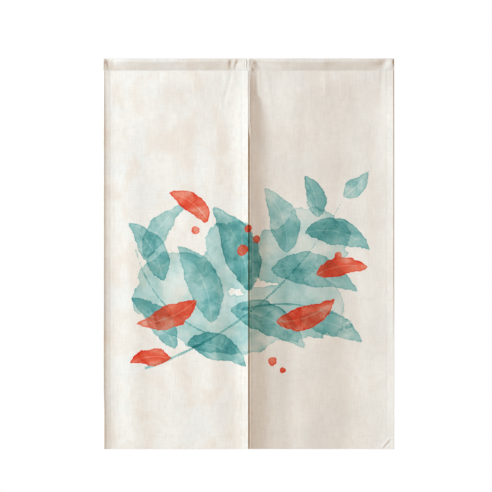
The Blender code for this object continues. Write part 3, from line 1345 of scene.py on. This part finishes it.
@dataclass
class Finishes:
    """Every material of the curtain, made once."""

    linen: Colour = (0.887, 0.865, 0.818)
    grey: Colour = (0.845, 0.850, 0.830)
    warm: Colour = (0.832, 0.765, 0.690)
    fleck: Colour = (0.815, 0.766, 0.720)
    # Painted shade: the darker colour of the right-hand half of the cloth.
    right_shade: Colour = (0.822, 0.803, 0.760)
    thread: Colour = (0.840, 0.815, 0.760)
    front: bpy.types.Material = field(init=False)
    back: bpy.types.Material = field(init=False)
    # The rod pocket's cloth, darkened as painted shade.
    plain: bpy.types.Material = field(init=False)
    strip: bpy.types.Material = field(init=False)
    sewing: bpy.types.Material = field(init=False)

    PRINT_STRENGTH = 1.08
    SHOW_THROUGH = 0.13
    # Painted shade: how much darker the rod pocket's cloth is made than the panels'.
    POCKET_PAINTED_SHADE = 0.955
    STRIP_PITCH = 0.0009

    def __post_init__(self) -> None:
        """Build each material."""
        colours = {
            "colour": self.linen,
            "grey": self.grey,
            "warm": self.warm,
            "fleck": self.fleck,
            "right_shade": self.right_shade,
        }
        printed, shown = PrintFinish(self.PRINT_STRENGTH), PrintFinish(self.SHOW_THROUGH)
        self.front = LinenFinish("printed_linen", **colours, print_finish=printed).build()
        self.back = LinenFinish("linen_back", **colours, print_finish=shown).build()
        self.plain = LinenFinish("pocket_linen_painted_shade", **colours, tone=self.POCKET_PAINTED_SHADE).build()
        self.strip = LinenFinish("strip_linen", **colours, thread_pitch=self.STRIP_PITCH).build()
        self.sewing = ThreadFinish("sewing_thread", self.thread).build()


@dataclass
class PanelSheet:
    """One hung panel, made of fine cloth on its solid's folds."""

    cut: PanelCut
    finishes: Finishes

    # The mesh's pitches, and where they change between the hems
    EDGE_PITCH = 0.0004
    SLIT_PITCH = 0.0008
    SEAM_PITCH = 0.0010
    RIM_PITCH = 0.0018
    HEM_PITCH = 0.0020
    FLANK_PITCH = 0.0025
    FIELD_PITCH = 0.0040
    EDGE_STEPS = 7
    SLIT_END = 0.0092
    FLANK_END = 0.066
    FIELD_END = 0.380
    TOP_SPANS = (Span(0.010, 0.0016), Span(0.120, 0.0031))
    DOWN_PITCH = 0.0044
    # The raised edges of the hems at the slit
    WELT = 0.00036
    WELT_WIDTH = 0.0030
    WELT_START = 0.0048
    RIGHT_WELT = 0.0009
    RIGHT_WELT_RUN = 0.030
    RIGHT_WELT_TOP = 0.40
    RIGHT_WELT_GROWTH = (0.05, 0.60)
    # How the ridge takes up cloth, so that the foot hangs higher there
    FOOT_LIFT = 0.0020
    FOOT_LIFT_REACH = 0.060
    # How the edges round back, from which drop the outer one does so less, and over what run
    EDGE_ROLL = 0.0008
    ROLL_DEPTH = 0.00005
    EDGE_FADE = (0.52, 0.34)
    OUTER_EDGE = 0.0032
    # Where the rows of stitches lie, and how far they sink
    SEAM_SINK = 0.00022
    SEAM_HALF_WIDTH = 0.0020
    SEW_IN = 0.0020
    TOP_ROW_DROP = 0.0022
    ROW_INSET = 0.0020
    ROW_TOP = 0.0040
    FOOT_ROW_START = 0.0030
    TOP_ROW_START = 0.0095
    TOUCH = 1e-6
    # The cloth's unevenness, and its puckers along the seams
    UNEVEN = (
        Ripple(across=0.085, drop=0.30, lift=0.0011),
        Ripple(across=0.036, drop=0.16, lift=0.00045, seed=20.0),
        Ripple(across=0.013, drop=0.045, lift=0.00012, seed=40.0),
    )
    FREE_FROM = (0.035, 0.030)
    POCKET_PUCKERS = Ripple(across=0.009, drop=0.20, lift=0.00045, seed=60.0)
    POCKET_PUCKER_REACH = 0.030
    SLIT_CLEAR = 0.020
    HEM_PUCKERS = Ripple(across=0.02, drop=0.007, lift=0.00018, seed=80.0)
    HEM_PUCKER_WIDTH = 0.008
    FOOT_PUCKERS = Ripple(across=0.008, drop=0.03, lift=0.00022, seed=90.0)
    FOOT_PUCKER_WIDTH = 0.010

    def stitch_lines(self) -> dict[str, float]:
        """Where the rows of stitches along the hems run.

        Returns:
            The distance across of each side hem's row, and the drop of the foot's.
        """
        return {
            "slit": SLIT_HEM - self.cut.lap - self.SEW_IN,
            "rim": self.cut.width - SIDE_HEM + self.SEW_IN,
            "foot": PANEL_DROP - FOOT_HEM + self.SEW_IN,
        }

    def detail(self, across: Field, drop: Field) -> Field:
        """The cloth's small relief: creases, puckers at the seams, slight unevenness.

        Args:
            across: Distances out from the slit line.
            drop: Depths below the panel's top edge.

        Returns:
            How far each place moves forward.
        """
        cut = self.cut
        lines = self.stitch_lines()
        relief = sum(crease.lift_at(across, drop) for crease in cut.creases)
        relief = relief * ease(across / self.SLIT_CLEAR)
        relief += self.slit_welt(np.maximum(across, 0.0), drop)
        free = ease(across / self.FREE_FROM[0]) * ease(drop / self.FREE_FROM[1])
        relief += free * sum(ripple.lift_at(across, drop, cut.seed) for ripple in self.UNEVEN)
        puckers = self.POCKET_PUCKERS.lift_at(across, drop, cut.seed) * ease(across / self.SLIT_CLEAR)
        relief += puckers * np.exp(-drop / self.POCKET_PUCKER_REACH)
        side_wrinkles = self.HEM_PUCKERS.lift_at(across, drop, cut.seed)
        foot_wrinkles = self.FOOT_PUCKERS.lift_at(across, drop, cut.seed)
        for aside, wrinkles, reach in (
            (across - lines["slit"], side_wrinkles, self.HEM_PUCKER_WIDTH),
            (across - lines["rim"], side_wrinkles, self.HEM_PUCKER_WIDTH),
            (drop - lines["foot"], foot_wrinkles, self.FOOT_PUCKER_WIDTH),
        ):
            relief += wrinkles * bump_at(aside, reach) - self.sunk(aside)
        return relief - self.sunk(drop - self.TOP_ROW_DROP)

    def sunk(self, aside: Field) -> Field:
        """How deep the cloth sinks at a distance from a row of stitches."""
        return self.SEAM_SINK * bump_at(aside, self.SEAM_HALF_WIDTH)

    def slit_welt(self, across: Field, drop: Field) -> Field:
        """The lift of the left hem's edge at the slit, or of the right hem just beside it.

        Args:
            across: Distances out from the slit line.
            drop: Depths below the panel's top edge.

        Returns:
            The lift at each place.
        """
        if self.cut.side is Side.LEFT:
            return self.WELT * np.exp(-across / self.WELT_WIDTH)
        beyond = np.maximum(across - self.WELT_START - self.WELT_WIDTH, 0.0)
        rising = ease((across - self.WELT_START) / self.WELT_WIDTH)
        start, run = self.RIGHT_WELT_GROWTH
        grown = self.RIGHT_WELT_TOP + (1.0 - self.RIGHT_WELT_TOP) * ease((drop - start) / run)
        return self.RIGHT_WELT * grown * rising * np.exp(-beyond / self.RIGHT_WELT_RUN)

    def edge_roll(self, across: Field, drop: Field) -> Field:
        """How far the turned hems round back at the very edges.

        Args:
            across: Distances out from the slit line.
            drop: Depths below the panel's top edge.

        Returns:
            How far back each place moves.
        """
        nearest = np.minimum(across + self.cut.lap, PANEL_DROP - drop)
        inward = self.cut.width - across
        outer = sum(depth * np.maximum(1.0 - inward / reach, 0.0) ** 2 for depth, reach in self.cut.edge)
        start, run = self.EDGE_FADE
        outer = outer * (1.0 - self.cut.edge_fade * ease((drop - start) / run))
        return outer + self.ROLL_DEPTH * np.maximum(1.0 - nearest / self.EDGE_ROLL, 0.0) ** 2

    def face(self, across: Field, drop: Field) -> Field:
        """Where places on the flat cloth hang.

        Args:
            across: Distances out from the slit line.
            drop: Depths below the panel's top edge.

        Returns:
            Rows of x, y and z on the cloth's face.
        """
        cut = self.cut
        held = np.maximum(across, 0.0)
        stand = cut.main_form(held, drop)
        if cut.lap:
            under = LEFT_CUT.main_form(np.maximum(-across, 0.0), drop) - LAP_STEP * DRAPE.step_share(drop)
            stand = np.where(across < 0.0, under, stand)
        stand = stand + self.detail(across, drop) - self.edge_roll(across, drop)
        x = SLIT + cut.side.value * (across - cut.drawn_in(across, drop))
        taken_up = self.FOOT_LIFT * np.exp(-held / self.FOOT_LIFT_REACH) * (drop / PANEL_DROP) ** 3
        return np.column_stack((x, -stand, PANEL_TOP - drop + taken_up))

    def columns(self) -> list[float]:
        """The mesh's places across, closer together at the hems and edges.

        Returns:
            The places, from the slit line out.
        """
        cut = self.cut
        lines = self.stitch_lines()
        spans = (
            Span(self.EDGE_PITCH - cut.lap, self.EDGE_PITCH),
            Span(self.EDGE_ROLL - cut.lap, self.EDGE_PITCH),
            Span(self.SLIT_END, self.SLIT_PITCH),
            Span(lines["slit"], self.HEM_PITCH),
            Span(SLIT_HEM - cut.lap, self.SEAM_PITCH),
            Span(SLIT_HEM - cut.lap + HEM_STEP, HEM_STEP),
            Span(self.FLANK_END, self.FLANK_PITCH),
            Span(self.FIELD_END, self.FIELD_PITCH),
            Span(cut.width - SIDE_HEM - HEM_STEP, self.HEM_PITCH),
            Span(cut.width - SIDE_HEM, HEM_STEP),
            Span(cut.width - self.OUTER_EDGE, self.RIM_PITCH),
            Span(cut.width, self.OUTER_EDGE / self.EDGE_STEPS),
        )
        return stations(spans, start=-cut.lap)

    def rows(self) -> list[float]:
        """The mesh's places down, closer together at the pocket and the foot.

        Returns:
            The places, from the top edge down.
        """
        spans = (
            *self.TOP_SPANS,
            Span(PANEL_DROP - FOOT_HEM - HEM_STEP, self.DOWN_PITCH),
            Span(PANEL_DROP - FOOT_HEM, HEM_STEP),
            Span(PANEL_DROP - self.EDGE_ROLL, self.HEM_PITCH),
            Span(PANEL_DROP, self.EDGE_PITCH),
        )
        return stations(spans)

    def build(self) -> bpy.types.Object:
        """Make the sheet, with its turned hems thicker on its back.

        Returns:
            The finished sheet.
        """
        cut = self.cut
        columns = self.columns()
        if cut.side is Side.LEFT:
            columns.reverse()
        mesh, across, drop = flat_grid(columns, self.rows())
        set_places(mesh, self.face(across, drop))
        flat_x = SLIT + cut.side.value * across
        flat_z = PANEL_TOP - drop
        lay_flat(mesh, flat_x, flat_z)
        DESIGN.paint(mesh, np.column_stack((flat_x, flat_z)))
        piece = place_object(f"{cut.name}_cloth", mesh, (self.finishes.front, self.finishes.back))
        hemmed = (
            (across <= SLIT_HEM - cut.lap + self.TOUCH)
            | (across >= cut.width - SIDE_HEM - self.TOUCH)
            | (drop >= PANEL_DROP - FOOT_HEM - self.TOUCH)
        )
        group = piece.vertex_groups.new(name="hems")
        group.add([int(number) for number in np.flatnonzero(hemmed)], 1.0, "REPLACE")
        thicken(piece, HEM_CLOTH, CLOTH / HEM_CLOTH, group.name)
        return piece

    def seam_rows(self) -> list[tuple[Point, Point]]:
        """Each row of stitches: two side hems, the bottom hem and the row under the pocket.

        Returns:
            The rows' two ends, as across and drop.
        """
        lines = self.stitch_lines()
        outer, foot = self.cut.width - self.ROW_INSET, PANEL_DROP - self.ROW_INSET
        return [
            *(((lines[name], self.ROW_TOP), (lines[name], foot)) for name in ("slit", "rim")),
            ((self.FOOT_ROW_START - self.cut.lap, lines["foot"]), (outer, lines["foot"])),
            ((self.TOP_ROW_START, self.TOP_ROW_DROP), (outer, self.TOP_ROW_DROP)),
        ]


@dataclass
class Stitching:
    """Rows of machine stitches on both sides of a panel's hems."""

    sheet: PanelSheet
    pitch: float = 0.0036
    length: float = 0.0027
    radius: float = 0.00032

    SEGMENTS = (6, 3)

    def one_stitch(self) -> tuple[Field, list[tuple[int, ...]]]:
        """One short thread along Z.

        Returns:
            Its points and its faces.
        """
        shape = bmesh.new()
        size = Matrix.Diagonal((self.radius, self.radius, self.length / 2, 1.0))
        around, along = self.SEGMENTS
        bmesh.ops.create_uvsphere(shape, u_segments=around, v_segments=along, radius=1.0, matrix=size)
        shape.verts.index_update()
        points = np.array([tuple(vert.co) for vert in shape.verts])
        faces = [tuple(vert.index for vert in face.verts) for face in shape.faces]
        shape.free()
        return points, faces

    def row(self, begin: Field, end: Field) -> list[tuple[Vector, Vector]]:
        """Where the stitches of one straight row lie, face and back.

        Args:
            begin: The row's first across and drop.
            end: Its last.

        Returns:
            Each stitch's middle and direction.
        """
        run = end - begin
        length = float(np.linalg.norm(run))
        count = int(length / self.pitch)
        shares = (np.arange(count) + 0.5) / count
        middles = begin + np.outer(shares, run)
        half = run / length * self.length / 2
        aside = np.array((half[1], -half[0]))
        centre, head, tail, beside = (
            self.sheet.face(*(middles + offset).T) for offset in (0.0 * half, half, -half, aside)
        )
        along = head - tail
        outward = np.cross(along, beside - centre)
        outward *= -np.sign(outward[:, 1:2]) / np.linalg.norm(outward, axis=1, keepdims=True)
        back = centre - outward * HEM_CLOTH
        return [(Vector(place), Vector(way)) for place, way in zip([*centre, *back], [*along, *along])]

    def build(self) -> bpy.types.Object:
        """Make every stitch of one panel as one mesh.

        Returns:
            The finished stitches.
        """
        unit, unit_faces = self.one_stitch()
        points: list[Field] = []
        faces: list[tuple[int, ...]] = []
        for begin, end in self.sheet.seam_rows():
            for middle, along in self.row(np.array(begin), np.array(end)):
                turn = np.array(along.to_track_quat("Z", "Y").to_matrix())
                first = len(points) * len(unit)
                points.append(unit @ turn.T + np.array(middle))
                faces += [tuple(first + number for number in face) for face in unit_faces]
        mesh = bpy.data.meshes.new("stitches")
        mesh.from_pydata(np.concatenate(points).tolist(), [], faces)
        name = f"{self.sheet.cut.name}_stitches"
        return place_object(name, mesh, (self.sheet.finishes.sewing,))


def pocket_section(arc_steps: int, flat_steps: int, seam_steps: int) -> list[Point]:
    """The pocket's outer section as (y, z) points: two arcs joined by two flats.

    Args:
        arc_steps: Steps over the rod.
        flat_steps: Steps down each flat.
        seam_steps: Steps round the seam.

    Returns:
        The closed section's points.
    """
    reach = POCKET_HEIGHT - SEAM_RADIUS - POCKET_RADIUS
    lean = math.asin((POCKET_RADIUS - SEAM_RADIUS) / reach)

    def arc(radius: float, height: float, start: float, turn: float, steps: int) -> list[Point]:
        """Points round an arc, both ends included."""
        angles = [start + turn * step / steps for step in range(steps + 1)]
        return [(radius * math.cos(angle), height + radius * math.sin(angle)) for angle in angles]

    def flat(begin: Point, end: Point) -> list[Point]:
        """Points between two arcs, the arcs' own ends left out."""
        shares = [step / flat_steps for step in range(1, flat_steps)]
        return [(begin[0] + (end[0] - begin[0]) * s, begin[1] + (end[1] - begin[1]) * s) for s in shares]

    over = arc(POCKET_RADIUS, -POCKET_RADIUS, -lean, math.pi + 2 * lean, arc_steps)
    seam = arc(SEAM_RADIUS, SEAM_RADIUS - POCKET_HEIGHT, math.pi + lean, math.pi - 2 * lean, seam_steps)
    return over + flat(over[-1], seam[0]) + seam + flat(seam[-1], over[0])


POCKET_SECTION = pocket_section(arc_steps=18, flat_steps=10, seam_steps=6)


def below_rod(z: Field) -> Field:
    """Rise from 0 at the rod's level to 1 at the pocket's seam."""
    return np.clip((-z - POCKET_RADIUS) / (POCKET_HEIGHT - POCKET_RADIUS), 0.0, 1.0)


def pocket_mesh(places: Sequence[float]) -> tuple[bpy.types.Mesh, Field]:
    """An open tube of the pocket's section along X, still straight.

    Args:
        places: Where its rings stand along X.

    Returns:
        The mesh, and its vertices' places.
    """
    section = POCKET_SECTION
    shape = bmesh.new()
    ring = bmesh.ops.create_circle(shape, segments=len(section), radius=1.0)["verts"]
    for vert, (y, z) in zip(ring, section):
        vert.co = Vector((places[0], y, z))
    edges = list(shape.edges)
    for begin, end in zip(places, places[1:]):
        made = bmesh.ops.extrude_edge_only(shape, edges=edges)["geom"]
        fresh = {part for part in made if isinstance(part, bmesh.types.BMVert)}
        bmesh.ops.translate(shape, verts=list(fresh), vec=(end - begin, 0.0, 0.0))
        bars = (part for part in made if isinstance(part, bmesh.types.BMEdge))
        edges = [bar for bar in bars if fresh.issuperset(bar.verts)]
    bmesh.ops.recalc_face_normals(shape, faces=shape.faces)
    highest = max(shape.faces, key=lambda face: face.calc_center_median().z)
    if highest.normal.z < 0.0:
        bmesh.ops.reverse_faces(shape, faces=shape.faces)
    mesh = bpy.data.meshes.new("pocket")
    shape.to_mesh(mesh)
    shape.free()
    points = np.array(section)
    steps = np.linalg.norm(np.diff(points, axis=0), axis=1)
    girths = np.concatenate(([0.0], np.cumsum(steps)))
    co = mesh_places(mesh)
    nearest = np.argmin(np.linalg.norm(co[:, None, 1:] - points[None, :, :], axis=2), axis=1)
    lay_flat(mesh, co[:, 0], girths[nearest])
    return mesh, co


@dataclass
class PocketHalf:
    """One half of the rod pocket, with its gathers."""

    heading: HeadingCut
    finishes: Finishes

    PITCH = 0.0016
    EDGE = 0.0008
    SETTLED = (
        Ripple(across=0.060, drop=0.05, lift=0.0008),
        Ripple(across=0.022, drop=0.03, lift=0.0003, seed=20.0),
        Ripple(across=0.034, drop=0.016, lift=0.0007, seed=30.0),
    )
    TOP_SLACK = Ripple(across=0.060, drop=0.05, lift=0.00045)
    SEAM_PUCKERS = Ripple(across=0.0085, drop=0.08, lift=0.00035, seed=10.0)
    SEAM_PUCKER_REACH = 0.009
    SEAM_HOLD = 6

    def seam_forward(self, x: Field) -> Field:
        """How far the pocket's seam stands forward over the panel under it."""
        across = np.maximum(self.heading.cut.side.value * (x - SLIT), 0.0)
        return self.heading.cut.main_form(across, np.zeros_like(across)) + CLOTH / 2 - SEAM_RADIUS

    def drape(self, co: Field) -> Field:
        """Where the points of a straight pocket hang.

        Args:
            co: Rows of x, y and z on the straight pocket.

        Returns:
            The same rows with its gathers and puckers.
        """
        x, y, z = co.T
        seed = self.heading.seed
        low = below_rod(z)
        sunk = sum(gather.depth_at(x, z) for gather in self.heading.gathers)
        settled = sum(ripple.lift_at(x, z, seed) for ripple in self.SETTLED)
        faces_front = np.clip(-y / POCKET_RADIUS, 0.0, 1.0)
        puckers = self.SEAM_PUCKERS.lift_at(x, z, seed)
        puckers = puckers * np.exp(-(z + POCKET_HEIGHT) / self.SEAM_PUCKER_REACH)
        moved_y = y - self.seam_forward(x) * low + (sunk + settled) * faces_front
        moved_y = moved_y - np.sign(y) * puckers * (1.0 - low**self.SEAM_HOLD)
        slack = self.TOP_SLACK.lift_at(x, z, seed) * ease((z + POCKET_RADIUS) / POCKET_RADIUS)
        return np.column_stack((x, moved_y, z + slack))

    def build(self) -> bpy.types.Object:
        """Make the pocket half as an open tube of cloth.

        Returns:
            The finished half.
        """
        heading = self.heading
        spans = (
            Span(heading.start + self.EDGE, self.EDGE),
            Span(heading.end - self.EDGE, self.PITCH),
            Span(heading.end, self.EDGE),
        )
        mesh, co = pocket_mesh(stations(spans, start=heading.start))
        set_places(mesh, self.drape(co))
        # The pocket's cloth is darkened as painted shade.
        piece = place_object(f"{heading.name}_cloth", mesh, (self.finishes.plain, self.finishes.plain))
        thicken(piece, POCKET_CLOTH)
        return piece


@dataclass
class JoinStrip:
    """The strip that joins the panels at the head of the slit, with its loop over the rod."""

    finishes: Finishes

    OVERLAP = 0.0012
    LOOP_TURN = 0.0026
    LOOP_PITCH = 0.0014
    TONGUE_PITCH = 0.0030
    TIP_PITCH = 0.0015
    SIDE_STEP = 0.125
    EDGE_ROUND = 0.0003
    EDGE_CURVE = 5
    UNEVEN = Ripple(across=1.0, drop=0.012, lift=0.00018, seed=31.0)

    def loop(self) -> bpy.types.Object:
        """The loop over the rod, whose front faces a little to the right.

        What lies behind the seam isn't turned, so that the seam's two walls stay apart.

        Returns:
            The loop as a piece of its own, still to be joined.
        """
        mesh, co = pocket_mesh(stations((Span(STRIP_LOOP_RIGHT, self.LOOP_PITCH),), start=STRIP_LOOP_LEFT))
        stand = DRAPE.crest_top - STRIP_RECESS + STRIP_CLOTH / 2 - SEAM_RADIUS
        rightward = (co[:, 0] - STRIP_LOOP_LEFT) / (STRIP_LOOP_RIGHT - STRIP_LOOP_LEFT)
        forward = np.clip((-co[:, 1] - SEAM_RADIUS) / (POCKET_RADIUS - SEAM_RADIUS), 0.0, 1.0)
        co[:, 1] += self.LOOP_TURN * rightward * forward - stand * below_rod(co[:, 2])
        set_places(mesh, co)
        piece = place_object("join_loop_shape", mesh, (self.finishes.strip, self.finishes.strip))
        thicken(piece, POCKET_CLOTH)
        return piece

    def tongue(self) -> bpy.types.Object:
        """The narrow strip below the loop, drawn to a blunt tip.

        Returns:
            The strip as a piece of its own, still to be joined.
        """
        spans = (Span(STRIP_LENGTH - STRIP_TAPER, self.TONGUE_PITCH), Span(STRIP_LENGTH, self.TIP_PITCH))
        rows = stations(spans, start=-self.OVERLAP)
        mesh, side, drop = flat_grid(stations((Span(1.0, self.SIDE_STEP),)), rows)
        hung = np.maximum(drop, 0.0)
        taper = ease((drop - STRIP_LENGTH + STRIP_TAPER) / STRIP_TAPER)
        half = (STRIP_RIGHT - STRIP_LEFT) / 2 * (1.0 - taper) + STRIP_TIP / 2 * taper
        aside = 2.0 * side - 1.0
        x = (STRIP_LEFT + STRIP_RIGHT) / 2 + aside * half
        stand = DRAPE.crest(hung) + DRAPE.field_lift(hung) - STRIP_RECESS - STRIP_TILT * side
        stand += self.UNEVEN.lift_at(side, drop, 0.0) - self.EDGE_ROUND * np.abs(aside) ** self.EDGE_CURVE
        set_places(mesh, np.column_stack((x, -stand, PANEL_TOP - drop)))
        lay_flat(mesh, x, PANEL_TOP - drop)
        piece = place_object("join_strip_cloth", mesh, (self.finishes.strip, self.finishes.strip))
        thicken(piece, STRIP_CLOTH)
        return piece

    def build(self) -> bpy.types.Object:
        """Make the loop and the strip below it as one piece.

        Returns:
            The finished strip.
        """
        loop, strip = self.loop(), self.tongue()
        union = strip.modifiers.new("Loop", "BOOLEAN")
        union.operation = "UNION"
        union.object = loop
        seen = strip.evaluated_get(bpy.context.evaluated_depsgraph_get())
        joined = bpy.data.meshes.new_from_object(seen)
        strip.modifiers.clear()
        strip.data = joined
        bpy.data.objects.remove(loop, do_unlink=True)
        return strip


@dataclass(frozen=True)
class Studio:
    """A plain pale floor, soft light from the left, and a level camera with a long lens.

    Angles are in degrees, and the curtain's width and middle are in pixels of the photograph.
    """

    frame_pixels: float = 492.0
    curtain_pixels: float = 290.6
    curtain_middle: tuple[float, float] = (248.69, 253.7)
    lens: float = 220.0
    sensor: float = 36.0
    floor_height: float = -2.05
    floor_size: float = 8.0
    key_azimuth: float = 59.0
    key_height: float = 27.0
    key_distance: float = 6.5
    key_width: float = 1.7
    key_power: float = 616.0
    key_colour: Colour = (0.680, 0.860, 0.980)
    ambient: float = 0.351
    ambient_colour: Colour = (1.0, 0.477, 0.127)
    back_azimuth: float = 150.0
    back_height: float = 16.0
    back_power: float = 2.4
    back_spread: float = 30.0
    white: Colour = (1.0, 1.0, 1.0)
    floor_colour: Colour = (0.78, 0.72, 0.64)
    floor_roughness: float = 0.85

    def camera(self) -> None:
        """Place the camera square to the curtain, framed as the photograph is."""
        metres_per_pixel = WIDTH / self.curtain_pixels
        frame_width = self.frame_pixels * metres_per_pixel
        middle = self.frame_pixels / 2
        x = (middle - self.curtain_middle[0]) * metres_per_pixel
        curtain_z = (CURTAIN_LOW.z + CURTAIN_HIGH.z) / 2
        z = curtain_z + (self.curtain_middle[1] - middle) * metres_per_pixel
        data = bpy.data.cameras.new("camera")
        data.lens = self.lens
        data.sensor_width = self.sensor
        made = bpy.data.objects.new("camera", data)
        made.location = (x, -frame_width * self.lens / self.sensor, z)
        made.rotation_euler = (math.radians(90.0), 0.0, 0.0)
        bpy.context.scene.collection.objects.link(made)
        bpy.context.scene.camera = made

    def towards(self, azimuth: float, height: float) -> Vector:
        """The direction of a light.

        Args:
            azimuth: Degrees round from square in front, towards the left.
            height: Degrees above level.

        Returns:
            A unit vector from the curtain to the light.
        """
        turn, lift = math.radians(azimuth), math.radians(height)
        return Vector((-math.sin(turn) * math.cos(lift), -math.cos(turn) * math.cos(lift), math.sin(lift)))

    def light(self, name: str, kind: str, way: Vector, power: float) -> bpy.types.Object:
        """Add a light that shines on the curtain.

        Args:
            name: Its name.
            kind: The kind of light.
            way: The direction from the curtain to it.
            power: Its power.

        Returns:
            The new light.
        """
        data = bpy.data.lights.new(name, kind)
        data.energy = power
        data.color = self.key_colour
        made = bpy.data.objects.new(name, data)
        made.rotation_euler = way.to_track_quat("Z", "Y").to_euler()
        bpy.context.scene.collection.objects.link(made)
        return made

    def key(self) -> None:
        """A soft panel of light at the left."""
        way = self.towards(self.key_azimuth, self.key_height)
        made = self.light("key", "AREA", way, self.key_power)
        made.data.shape = "DISK"
        made.data.size = self.key_width
        made.location = Vector((0.0, 0.0, PANEL_FOOT / 2)) + way * self.key_distance
        made.visible_camera = False

    def behind(self) -> None:
        """A weaker light on the back, which doesn't reach the printed face."""
        way = self.towards(self.back_azimuth, self.back_height)
        made = self.light("behind", "SUN", way, self.back_power)
        made.data.angle = math.radians(self.back_spread)

    def surroundings(self) -> None:
        """A white backdrop for the camera, and a weaker warm light from all round."""
        world = bpy.data.worlds.new("studio")
        world.use_nodes = True
        bpy.context.scene.world = world
        tree = world.node_tree
        seen, around = tree.nodes["Background"], tree.nodes.new("ShaderNodeBackground")
        for light, colour, strength in ((seen, self.white, 1.0), (around, self.ambient_colour, self.ambient)):
            light.inputs["Color"].default_value = (*colour, 1.0)
            light.inputs["Strength"].default_value = strength
        path = tree.nodes.new("ShaderNodeLightPath")
        either = tree.nodes.new("ShaderNodeMixShader")
        tree.links.new(path.outputs["Is Camera Ray"], either.inputs["Fac"])
        tree.links.new(around.outputs[0], either.inputs[1])
        tree.links.new(seen.outputs[0], either.inputs[2])
        tree.links.new(either.outputs[0], tree.nodes["World Output"].inputs["Surface"])

    def floor(self) -> None:
        """A plain pale floor well below the curtain."""
        shape = bmesh.new()
        bmesh.ops.create_grid(shape, x_segments=1, y_segments=1, size=self.floor_size / 2)
        bmesh.ops.translate(shape, verts=shape.verts, vec=(0.0, 0.0, self.floor_height))
        mesh = bpy.data.meshes.new("floor")
        shape.to_mesh(mesh)
        shape.free()
        kit = NodeKit("pale_floor")
        kit.finish(Base_Color=(*self.floor_colour, 1.0), Roughness=self.floor_roughness)
        place_object("floor", mesh, (kit.material,))

    def build(self) -> None:
        """Set the whole studio."""
        self.camera()
        self.key()
        self.behind()
        self.surroundings()
        self.floor()
        bpy.context.scene.view_settings.view_transform = "Standard"


def report(piece: bpy.types.Object, note: str) -> None:
    """Say what was made."""
    log.info("%s: %s, %d faces", piece.name, note, len(piece.data.polygons))


def dress_panel(sheet: PanelSheet) -> None:
    """Make one panel's cloth and stitches, and tie them to the frame.

    Args:
        sheet: The panel.
    """
    cloth = sheet.build()
    stitches = Stitching(sheet).build()
    for piece in (cloth, stitches):
        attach(piece, BODY)
    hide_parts(sheet.cut.name)
    report(cloth, "hung panel")
    report(stitches, "hem stitches")


def dress_pocket(half: PocketHalf) -> None:
    """Make one half of the rod pocket and tie it to the frame.

    Args:
        half: The pocket half.
    """
    cloth = half.build()
    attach(cloth, BODY)
    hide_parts(half.heading.name)
    report(cloth, "rod pocket")


def dress_strip(strip: JoinStrip) -> None:
    """Make the joining strip and tie it to the frame.

    Args:
        strip: The strip.
    """
    cloth = strip.build()
    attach(cloth, BODY)
    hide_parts("join_strip")
    report(cloth, "joining strip")


def main() -> None:
    """Dress the curtain and set the studio."""
    finishes = Finishes()
    for cut in (LEFT_CUT, RIGHT_CUT):
        dress_panel(PanelSheet(cut, finishes))
    for heading in (LEFT_HEADING, RIGHT_HEADING):
        dress_pocket(PocketHalf(heading, finishes))
    dress_strip(JoinStrip(finishes))
    Studio().build()


if __name__ == "__main__":
    main()
